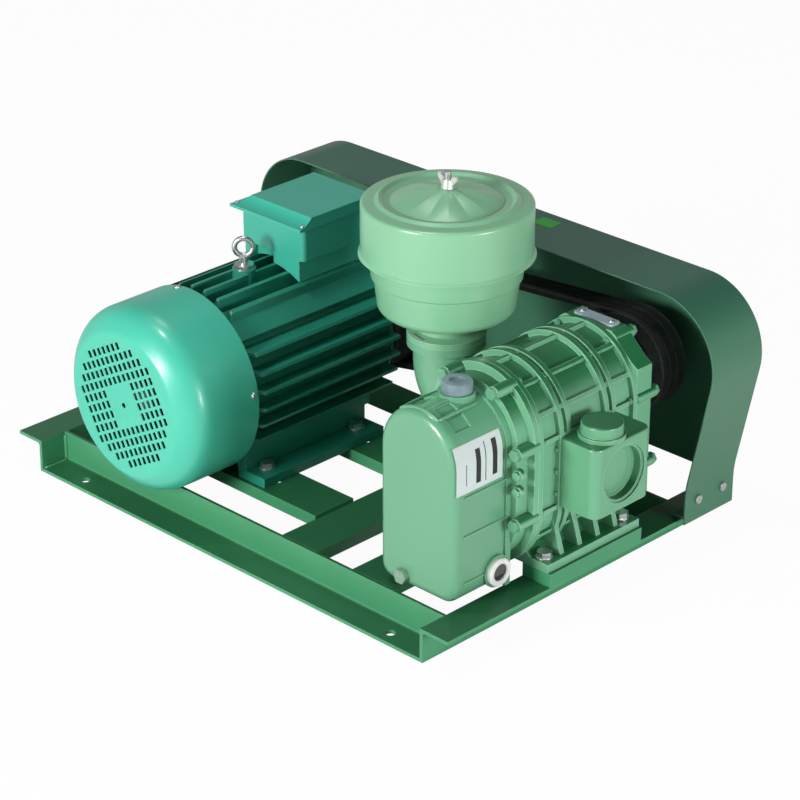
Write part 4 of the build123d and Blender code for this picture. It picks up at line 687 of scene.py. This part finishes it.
# ---- dressing
class Workshop:
    """Finishes the nodes and the new pieces, and seats each piece on its body."""

    def __init__(self) -> None:
        """Build every finish once."""
        self.materials = {finish: finish.value.material() for finish in Finish}
        self.count = 0

    def paint(self, nodes: Iterable[str], finish: Finish) -> None:
        """Give CAD nodes one finish."""
        for name in nodes:
            mesh = frame["nodes"][name].data
            mesh.materials.clear()
            mesh.materials.append(self.materials[finish])
            LOG.info("%s wears %s", name, finish.name)

    def seat(self, name: str, points: np.ndarray, finish: Finish, **shape: object) -> None:
        """Make a piece from a grid of points, finish it and let it ride on the fixed body."""
        piece = sheet_mesh(name, points, **shape)
        piece.data.materials.append(self.materials[finish])
        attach(piece, "root")
        self.count += 1
        LOG.info("%s wears %s", name, finish.name)

    def screw(self, name: str, stand: Stand, radius: float, finish: Finish) -> None:
        """Set a domed screw head with a height of 0.7 of its radius."""
        self.seat(name, domed(radius, 0.7 * radius, stand), finish)

    def hexagon(self, name: str, stand: Stand, radius: float, height: float, finish: Finish) -> None:
        """Set a hexagon head."""
        self.seat(name, hexagonal(radius, height, stand), finish)

    def washers(self, node: str, radius: float, thickness: float = 1.8 * MM) -> None:
        """Lay a washer under each upright bolt head of a node.

        The head's seat is the lowest level at which the bolt is at least 0.9 of its full radius wide.
        """
        for index, points in enumerate(islands(node)):
            centre = (points.min(axis=0) + points.max(axis=0)) / 2
            reach = np.hypot(points[:, 0] - centre[0], points[:, 1] - centre[1])
            seat = points[reach > 0.9 * reach.max(), 2].min()
            stand = Stand((centre[0], centre[1], seat))
            ring = [(0.0, 0.0), (radius, 0.0), (radius, thickness), (0.0, thickness)]
            self.seat(f"washer_{node}_{index}", turned(ring, stand, 36), Finish.ZINC)


@dataclass
class Assembly:
    """A sub-assembly: which finish its nodes wear, and the small pieces that it is dressed with."""

    shop: Workshop
    wears: ClassVar[dict[Finish, tuple[str, ...]]]

    def dress(self) -> None:
        """Add the small pieces and paint the nodes."""
        self.fit()
        for finish, nodes in self.wears.items():
            self.shop.paint(nodes, finish)

    def fit(self) -> None:
        """Add the small pieces."""
        raise NotImplementedError


@dataclass
class BaseFrame(Assembly):
    """The welded angle frame."""

    wears: ClassVar = {Finish.FRAME: (
        "rail_front", "rail_rear", "rail_left", "rail_right", "bar_blower", "bar_middle",
        "motor_bar_drive_feet", "motor_bar_rear_feet", "foot_bar_left", "foot_bar_right",
    )}
    wall: float = 5 * MM  # thickness of the angle rails
    bead: float = 3.2 * MM  # radius of a weld
    ripple: float = 2.6 * MM  # spacing of the weld's ripples
    ripple_height: float = 0.14  # as a share of the radius
    tip: float = 0.25  # the weld's ends, as a share of the radius
    inset: float = 1 * MM  # of the corner welds from the rail's ends
    margin: float = 2 * MM  # left free at the legs' edges
    side_weld: Span = (12 * MM, 1 * MM)  # start and end of a channel's weld below its top

    def weld(self, name: str, start: Point, end: Point) -> None:
        """Lay one weld bead between two points.

        The bead's radius is its size times 1 + 0.14 |sin| of the distance along it, one ripple for
        each half wave, and it tapers to a quarter over its last radius at each end.
        """
        first, last = np.array(start), np.array(end)
        length = float(np.linalg.norm(last - first))
        count = max(12, int(length / self.ripple * 4))
        along = np.linspace(0, 1, count)
        path = first + along[:, None] * (last - first)
        ripples = 1 + self.ripple_height * np.abs(np.sin(along * length / self.ripple * math.pi))
        taper = np.clip(np.minimum(along, 1 - along) * length / self.bead, self.tip, 1.0)
        self.shop.seat(name, carried(path, oval(14), self.bead * ripples * taper), Finish.FRAME)

    def fit(self) -> None:
        """Weld the frame's front corners and the long channels' sides."""
        low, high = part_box("rail_front")
        web = high.y - self.wall
        for side, x in (("left", low.x + self.inset), ("right", high.x - self.inset)):
            corner = (x, web, self.wall)
            self.weld(f"weld_front_{side}_web", corner, (x, web, high.z - self.margin))
            self.weld(f"weld_front_{side}_foot", (x, low.y + self.margin, self.wall), corner)
        for node in ("bar_middle", "bar_blower"):
            low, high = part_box(node)
            start, end = (high.z - drop for drop in self.side_weld)
            for edge, x in (("a", low.x), ("b", high.x)):
                self.weld(f"weld_{node}_{edge}", (x, low.y, start), (x, low.y, end))


@dataclass
class Motor(Assembly):
    """The finned foot motor with its fan cowl and terminal box."""

    wears: ClassVar = {
        Finish.COWL: ("fan_cowl",),
        Finish.MOTOR: ("motor_frame", "motor_drive_shield", "motor_fan_shield"),
        Finish.TERMINAL: ("terminal_box", "terminal_box_lid"),
        Finish.FAN: ("motor_fan",),
        Finish.SHAFT: ("motor_shaft",),
        Finish.BEARING: ("motor_bearings",),
        Finish.LAMINATION: ("motor_rotor_core", "stator"),
        Finish.ZINC: ("motor_foot_bolts", "lifting_eye"),
        Finish.GLAND: ("cable_gland",),
    }
    cowl_screw_turns: tuple[float, ...] = (98.0, 8.0, -82.0, 188.0)  # degrees from +X towards +Z
    cowl_screw_setback: float = 8 * MM  # from the cowl's rim
    cowl_screw_radius: float = 5 * MM
    lid_screw_insets: tuple[Span, ...] = ((-4 * MM, 8 * MM), (8 * MM, 8 * MM))  # from right or left, front
    lid_screw_rise: float = 6 * MM  # above the lid's lower edge
    lid_screw_radius: float = 3.4 * MM
    washer_radius: float = 12.5 * MM

    def cowl_screws(self) -> None:
        """Four screws hold the cowl to the fan-end shield."""
        low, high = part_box("fan_cowl")
        centre = (low + high) / 2
        radius = (high.x - low.x) / 2
        for index, degrees in enumerate(self.cowl_screw_turns):
            turn = math.radians(degrees)
            out = (math.cos(turn), 0.0, math.sin(turn))
            y = high.y - self.cowl_screw_setback
            place = (centre.x + radius * out[0], y, centre.z + radius * out[2])
            stand = Stand(place, out, (0.0, 1.0, 0.0))
            self.shop.screw(f"cowl_screw_{index}", stand, self.cowl_screw_radius, Finish.ZINC)

    def lid_screws(self) -> None:
        """A screw at each front corner of the terminal box lid."""
        low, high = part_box("terminal_box_lid")
        for index, (inset_x, inset_y) in enumerate(self.lid_screw_insets):
            side = high.x if inset_x < 0 else low.x
            place = (side + inset_x, low.y + inset_y, low.z + self.lid_screw_rise)
            self.shop.screw(f"lid_screw_{index}", Stand(place), self.lid_screw_radius, Finish.ZINC)

    def fit(self) -> None:
        """Set the cowl's and the lid's screws and the foot bolts' washers."""
        self.cowl_screws()
        self.lid_screws()
        self.shop.washers("motor_foot_bolts", self.washer_radius)


@dataclass
class Blower(Assembly):
    """The three-lobe blower with its gear case and discharge box."""

    wears: ClassVar = {
        Finish.BLOWER: (
            "blower_casing", "side_plate_gear_end", "side_plate_drive_end", "drive_seal_cover",
            "bearing_cover_lower", "intake_elbow",
        ),
        Finish.GEAR_CASE: ("gear_case", "plate_bolts"),
        Finish.BOX: ("discharge_box", "discharge_box_cap", "discharge_port_blank"),
        Finish.ROTOR: ("rotor_lower", "rotor_upper"),
        Finish.GEAR: ("timing_gear_lower", "timing_gear_upper"),
        Finish.SHAFT: ("shaft_lower", "shaft_upper"),
        Finish.BEARING: ("blower_bearings",),
        Finish.ZINC: ("blower_foot_bolts",),
        Finish.DRAIN: ("oil_drain_plug",),
        Finish.CAP: ("oil_filler_cap",),
        Finish.SIGHT_RING: ("sight_glass_ring",),
        Finish.SIGHT_GLASS: ("sight_glass_lens",),
    }
    plate_low: float = 220 * MM  # rating plate's lower edge above the floor
    plate_height: float = 68 * MM
    plate_start: float = -212 * MM
    plate_length: float = 86 * MM
    plate_thickness: float = 0.9 * MM
    ink_span: Span = (0.8 * MM, 1.1 * MM)  # back and face of the plate's bars above the flank
    plate_bars: tuple[tuple[float, ...], ...] = (  # start, width, low and high, as shares of the plate
        (0.42, 0.10, 0.12, 0.82), (0.78, 0.10, 0.14, 0.88), (0.62, 0.015, 0.10, 0.90),
        (0.20, 0.012, 0.16, 0.60),
    )
    crown_ribs: tuple[float, ...] = (123.0, 85.0, 64.0)  # degrees from +X towards +Z
    crown_x: float = 323 * MM  # axis of the gear case's crown
    crown_z: float = 254 * MM
    crown_radius: float = 68 * MM
    rib_ends: Span = (10 * MM, 22 * MM)  # setbacks from the gear case's front and rear
    rib_size: float = 2.2 * MM
    rib_tip: float = 0.8 * MM
    rib_sink: float = 0.8 * MM
    rib_arch: float = 1.2 * MM  # how much the rib's middle stands higher
    cross_rib_size: float = 2.4 * MM
    cross_rib_sink: float = 1.0 * MM
    rib_steps: tuple[int, int] = (24, 30)
    plugs: tuple[Span, ...] = ((224 * MM, 8.5 * MM), (200 * MM, 8.0 * MM))  # height and radius
    plug_setback: float = 8 * MM  # from the end plate's right edge and front
    plug_length: float = 7 * MM
    box_screws: tuple[float, ...] = (0.18, 0.5, 0.82)  # heights as shares of the box's
    box_screw_gap: float = 6 * MM
    tag_size: Point = (70 * MM, 20 * MM, 2.5 * MM)
    tag_screw: Span = (26 * MM, 4 * MM)  # distance from the middle and radius
    washer_radius: float = 12 * MM

    def flank(self, rise: np.ndarray) -> tuple[np.ndarray, np.ndarray]:
        """Points and outward normals (x, z) up the gear case's right flank.

        The flank is upright as far as the crown's centre and then follows the crown's circle; rise is
        the distance along it from the rating plate's lower edge.
        """
        radius = self.crown_radius
        turn = np.maximum(0.0, (self.plate_low + rise - self.crown_z) / radius)
        normal = np.stack([np.cos(turn), np.sin(turn)], -1)
        level = np.minimum(self.plate_low + rise, self.crown_z)
        points = np.stack([self.crown_x + radius * normal[:, 0], level + radius * normal[:, 1]], -1)
        return points, normal

    def on_flank(self, name: str, along: Span, up: Span, lift: Span, finish: Finish) -> None:
        """Lay a bent strip on the gear case's right flank.

        Args:
            name: the piece's name.
            along: its front and rear ends along +Y.
            up: its lower and upper edges, from the rating plate's lower edge.
            lift: height of its back and of its face above the flank.
            finish: its finish.
        """
        (start, end), (base, top) = along, lift
        points, normal = self.flank(np.linspace(*up, 15))
        corners = ((start, base), (end, base), (end, top), (start, top))
        rings = []
        for (x, z), (nx, nz) in zip(points, normal):
            rings.append([(x + nx * height, y, z + nz * height) for y, height in corners])
        grid = np.array(rings)
        ends = np.repeat(grid[[0, -1]].mean(axis=1)[:, None, :], 4, axis=1)
        self.shop.seat(name, np.concatenate([ends[:1], grid, ends[1:]]), finish)

    def rating_plate(self) -> None:
        """A bare plate with plain bars."""
        length, height = self.plate_length, self.plate_height
        along = (self.plate_start, self.plate_start + length)
        self.on_flank("rating_plate", along, (0.0, height), (0.0, self.plate_thickness), Finish.PLATE)
        for index, (start, width, low, high) in enumerate(self.plate_bars):
            front = self.plate_start + start * length
            along, up = (front, front + width * length), (low * height, high * height)
            self.on_flank(f"plate_bar_{index}", along, up, self.ink_span, Finish.INK)

    def ribs_on_crown(self) -> None:
        """Raised ribs along the crown, with a cross rib that closes the sunk panels at the front."""
        low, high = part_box("gear_case")
        section = oval(10, 1.2)
        centre = np.array([self.crown_x, 0.0, self.crown_z])
        front, rear = low.y + self.rib_ends[0], high.y - self.rib_ends[1]
        steps, cross_steps = self.rib_steps
        arch = self.rib_arch * np.sin(np.linspace(0, math.pi, steps))
        lift = self.crown_radius - self.rib_sink + arch
        size = np.full(steps, self.rib_size)
        size[[0, -1]] = self.rib_tip
        for index, degrees in enumerate(self.crown_ribs):
            turn = math.radians(degrees)
            path = centre + lift[:, None] * np.array([math.cos(turn), 0.0, math.sin(turn)])
            path[:, 1] = np.linspace(front, rear, steps)
            self.shop.seat(f"crown_rib_{index}", carried(path, section, size), Finish.GEAR_CASE)
        turn = np.radians(np.linspace(self.crown_ribs[0], self.crown_ribs[-1], cross_steps))
        out = np.stack([np.cos(turn), 0 * turn, np.sin(turn)], -1)
        path = centre + (self.crown_radius - self.cross_rib_sink) * out
        path[:, 1] = front
        size = np.full(cross_steps, self.cross_rib_size)
        self.shop.seat("crown_rib_front", carried(path, section, size), Finish.GEAR_CASE)

    def oil_plugs(self) -> None:
        """Two plugs on bosses, on the front of the gear-end plate."""
        low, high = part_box("side_plate_gear_end")
        length = self.plug_length
        for index, (z, radius) in enumerate(self.plugs):
            x, y = high.x - self.plug_setback, low.y + self.plug_setback
            ring = [(0, 0), (radius, 0), (radius, length - MM), (radius - MM, length), (0, length)]
            boss = turned(ring, Stand((x, y, z), TO_FRONT), 32)
            self.shop.seat(f"plate_boss_{index}", boss, Finish.BLOWER)
            head = Stand((x, y - length, z), TO_FRONT)
            self.shop.hexagon(f"plate_plug_{index}", head, 0.75 * radius, 4 * MM, Finish.BLOWER)

    def screws_by_box(self) -> None:
        """A column of screws beside the discharge box."""
        low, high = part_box("discharge_box")
        for index, share in enumerate(self.box_screws):
            place = (low.x - self.box_screw_gap, low.y, low.z + share * (high.z - low.z))
            head = Stand(place, TO_FRONT)
            self.shop.hexagon(f"box_screw_{index}", head, 4 * MM, 4.5 * MM, Finish.BLOWER)

    def tag(self) -> None:
        """A bare tag with two screws, on top of the drive-end plate."""
        low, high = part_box("side_plate_drive_end")
        x, y, z = self.crown_x, (low.y + high.y) / 2, high.z
        length, width, thickness = self.tag_size
        plate = slab(rounded_outline(length, width, 5 * MM), thickness, Stand((x, y, z)), 0.6 * MM)
        self.shop.seat("drive_end_tag", plate, Finish.TAG)
        distance, radius = self.tag_screw
        for index, side in enumerate((-1, 1)):
            seat = Stand((x + side * distance, y, z + 2.3 * MM))
            self.shop.screw(f"tag_screw_{index}", seat, radius, Finish.ZINC)

    def fit(self) -> None:
        """Add the rating plate, ribs, plugs, screws and tag, and the foot bolts' washers."""
        self.rating_plate()
        self.ribs_on_crown()
        self.oil_plugs()
        self.screws_by_box()
        self.tag()
        self.shop.washers("blower_foot_bolts", self.washer_radius)


@dataclass
class IntakeFilter(Assembly):
    """The intake filter on its elbow."""

    wears: ClassVar = {
        Finish.FILTER: ("filter_bowl", "filter_cover", "filter_neck"),
        Finish.PAPER: ("filter_element",),
        Finish.ZINC: ("filter_stud",),
        Finish.WING_NUT: ("wing_nut",),
    }
    creases: int = 8
    crease_height: float = 2.2 * MM
    panel_radii: Span = (14 * MM, 77 * MM)
    panel_drop: float = 16.8 * MM  # dome's fall from the stud to the panel's rim
    panel_sink: float = 0.6 * MM  # of the dome's middle below the cover's top
    panel_thickness: float = 4 * MM
    panel_smooth: float = math.radians(2.5)
    clamp_place: Point = (-14 * MM, -44 * MM, 4 * MM)  # from the neck's axis and its lower rim
    lug_size: Point = (14 * MM, 12 * MM, 22 * MM)
    lug_corner: float = 3 * MM
    clamp_bolt_size: float = 7 * MM  # radius and height of its head

    def pressed_panel(self) -> None:
        """The cover's pressed dome, folded by shallow creases that run out from the stud.

        The dome is a cone. A crease stands above it by 4 t (1 - t) of the crease's height, with t from
        0 at the stud to 1 at the panel's rim, and falls away evenly to the middle of each panel.
        """
        low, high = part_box("filter_cover")
        centre = (low + high) / 2
        inner, outer = self.panel_radii
        turn = ring_angles(self.creases * 12)
        t = np.linspace(0, 1, 18)[:, None]
        radius = inner + t * (outer - inner)
        fold = np.abs(np.mod(turn * self.creases / math.pi, 2) - 1)
        crease = self.crease_height * 4 * t * (1 - t) * fold
        z = high.z - self.panel_sink - self.panel_drop * t + crease
        x, y = centre.x + radius * np.cos(turn), centre.y + radius * np.sin(turn)
        grid = np.stack([x, y, z + 0 * turn], -1)
        under = grid[::-1].copy()
        under[..., 2] -= self.panel_thickness
        closed = np.concatenate([grid, under, grid[:1]])
        self.shop.seat("pressed_panel", closed, Finish.FILTER, smooth=self.panel_smooth)

    def clamp(self) -> None:
        """The lug and the bolt of the neck's clamp, on its front left."""
        low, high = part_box("filter_neck")
        centre = (low + high) / 2
        dx, dy, dz = self.clamp_place
        place = (centre.x + dx, centre.y + dy, low.z + dz)
        width, height, length = self.lug_size
        outline = rounded_outline(width, height, self.lug_corner)
        lug = slab(outline, length, Stand(place, (1.0, -0.2, 0.0), UP))
        self.shop.seat("clamp_lug", lug, Finish.ZINC)
        head = Stand(place, (-1.0, 0.2, 0.0), UP)
        size = self.clamp_bolt_size
        self.shop.hexagon("clamp_bolt", head, size, size, Finish.ZINC)

    def fit(self) -> None:
        """Crease the cover and set the clamp."""
        self.pressed_panel()
        self.clamp()


@dataclass
class BeltDrive(Assembly):
    """Pulleys, belts and the guard round them."""

    wears: ClassVar = {
        Finish.GUARD: ("belt_guard_band", "belt_guard_back", "guard_brackets"),
        Finish.ZINC: ("guard_bolts",),
        Finish.PULLEY: ("motor_pulley", "blower_pulley"),
        Finish.BELT: ("v_belts",),
    }
    sticker_x: float = 118 * MM
    sticker_setback: float = 30 * MM  # from the guard's rear face
    sticker_size: Point = (34 * MM, 26 * MM, 0.4 * MM)
    sticker_corner: float = 2 * MM

    def fit(self) -> None:
        """Lay a bare green sticker on the guard's roof."""
        _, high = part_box("belt_guard_band")
        length, width, thickness = self.sticker_size
        stand = Stand((self.sticker_x, high.y - self.sticker_setback, high.z))
        outline = rounded_outline(length, width, self.sticker_corner, 4)
        self.shop.seat("guard_sticker", slab(outline, thickness, stand), Finish.STICKER)


# ---- stage
@dataclass(frozen=True)
class Studio:
    """Floor, lamps and camera."""

    eye: Point = (2.6386, -2.6026, 1.9504)
    yaw: float = math.radians(44.493)
    pitch: float = math.radians(25.872)
    lens: float = 130.4
    sensor: float = 36.0
    far: float = 60.0  # the camera's clipping distance
    floor_size: float = 30.0
    floor_tone: Colour = (0.86, 0.86, 0.85)
    floor_shade: Colour = (0.80, 0.80, 0.80)
    floor_glow: float = 0.96  # how much of the floor's brightness towards the camera is its own
    aim: Point = (0.0, 0.0, 0.2)
    horizon: float = 0.50  # strength of the surroundings at eye level
    zenith: float = 0.08  # and overhead
    fade: Span = (0.05, 0.75)  # height of the view's direction over which they fade
    lamps: tuple[tuple[str, Point, float, float], ...] = (  # name, place, size and power
        ("key_lamp", (-0.1, -3.8, 1.5), 1.2, 140.0),
        ("side_lamp", (3.6, 0.1, 0.7), 1.0, 66.0),
        ("top_lamp", (-0.9, 0.9, 3.2), 1.0, 10.0),
        ("spot_lamp", (-0.2, -0.6, 3.1), 0.32, 20.0),
    )

    def floor(self) -> None:
        """Lay one large pale floor under the set; it shows nearly white to the camera where unshaded."""
        half = self.floor_size / 2
        grid = np.array([[[x, y, 0.0] for x in (-half, half)] for y in (-half, half)])
        ground = sheet_mesh("studio_floor", grid, wrap=False)
        low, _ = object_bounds()
        ground.data.transform(Matrix.Translation((0, 0, low.z)))
        sheet = Sheet("floor_finish")
        soft = sheet.noise(0.6, 2.0, 0.5) * 0.02
        tone = sheet.blend(soft, self.floor_tone, self.floor_shade)
        material = sheet.finish(Base_Color=tone, Roughness=0.8, Specular_IOR_Level=0.2)
        glow = sheet.add("Emission", {}, {"Color": WHITE, "Strength": 1.0})
        seen = sheet.add("LightPath", output="Is Camera Ray")
        mix = {0: seen * self.floor_glow, 1: sheet.paint_out, 2: glow}
        sheet.close(sheet.add("MixShader", {}, mix))
        ground.data.materials.append(material)
        ground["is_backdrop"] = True

    def light(self) -> None:
        """Hang the lamps and light the world."""
        target = Vector(self.aim)
        for name, place, size, power in self.lamps:
            data = bpy.data.lights.new(name, "AREA")
            data.shape = "DISK"
            data.size = size
            data.energy = power
            lamp = bpy.data.objects.new(name, data)
            lamp.location = place
            lamp.rotation_euler = (target - Vector(place)).to_track_quat("-Z", "Y").to_euler()
            bpy.context.scene.collection.objects.link(lamp)
        self.surroundings()

    def surroundings(self) -> None:
        """Light the world: it fades from the horizon to the zenith, and is white to the camera."""
        world = bpy.data.worlds.new("studio_world")
        bpy.context.scene.world = world
        world.use_nodes = True
        nodes, links = world.node_tree.nodes, world.node_tree.links
        background = nodes["Background"]
        direction = nodes.new("ShaderNodeTexCoord")
        height = nodes.new("ShaderNodeSeparateXYZ")
        links.new(direction.outputs["Generated"], height.inputs[0])
        fade = nodes.new("ShaderNodeMapRange")
        for socket, value in zip(list(fade.inputs)[1:5], (*self.fade, self.horizon, self.zenith)):
            socket.default_value = value
        links.new(height.outputs["Z"], fade.inputs[0])
        path = nodes.new("ShaderNodeLightPath")
        seen = nodes.new("ShaderNodeMath")
        seen.operation = "MAXIMUM"
        links.new(path.outputs["Is Camera Ray"], seen.inputs[0])
        links.new(fade.outputs[0], seen.inputs[1])
        links.new(seen.outputs[0], background.inputs["Strength"])
        background.inputs["Color"].default_value = (*WHITE, 1.0)

    def camera(self) -> None:
        """Set the camera at the viewing angle."""
        data = bpy.data.cameras.new("camera")
        data.lens = self.lens
        data.sensor_width = self.sensor
        data.clip_end = self.far
        eye = bpy.data.objects.new("camera", data)
        level = math.cos(self.pitch)
        forward = (-math.sin(self.yaw) * level, math.cos(self.yaw) * level, -math.sin(self.pitch))
        eye.location = self.eye
        eye.rotation_euler = Vector(forward).to_track_quat("-Z", "Y").to_euler()
        bpy.context.scene.collection.objects.link(eye)
        bpy.context.scene.camera = eye
        bpy.context.scene.view_settings.view_transform = "Standard"


def main() -> None:
    """Dress the set, then set the stage."""
    shop = Workshop()
    for assembly in (BaseFrame, Motor, Blower, IntakeFilter, BeltDrive):
        assembly(shop).dress()
    studio = Studio()
    studio.camera()
    studio.light()
    studio.floor()
    LOG.info("%d new pieces", shop.count)


if __name__ == "__main__":
    logging.basicConfig(level=logging.INFO, format="%(name)s: %(message)s")
    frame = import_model()
    main()
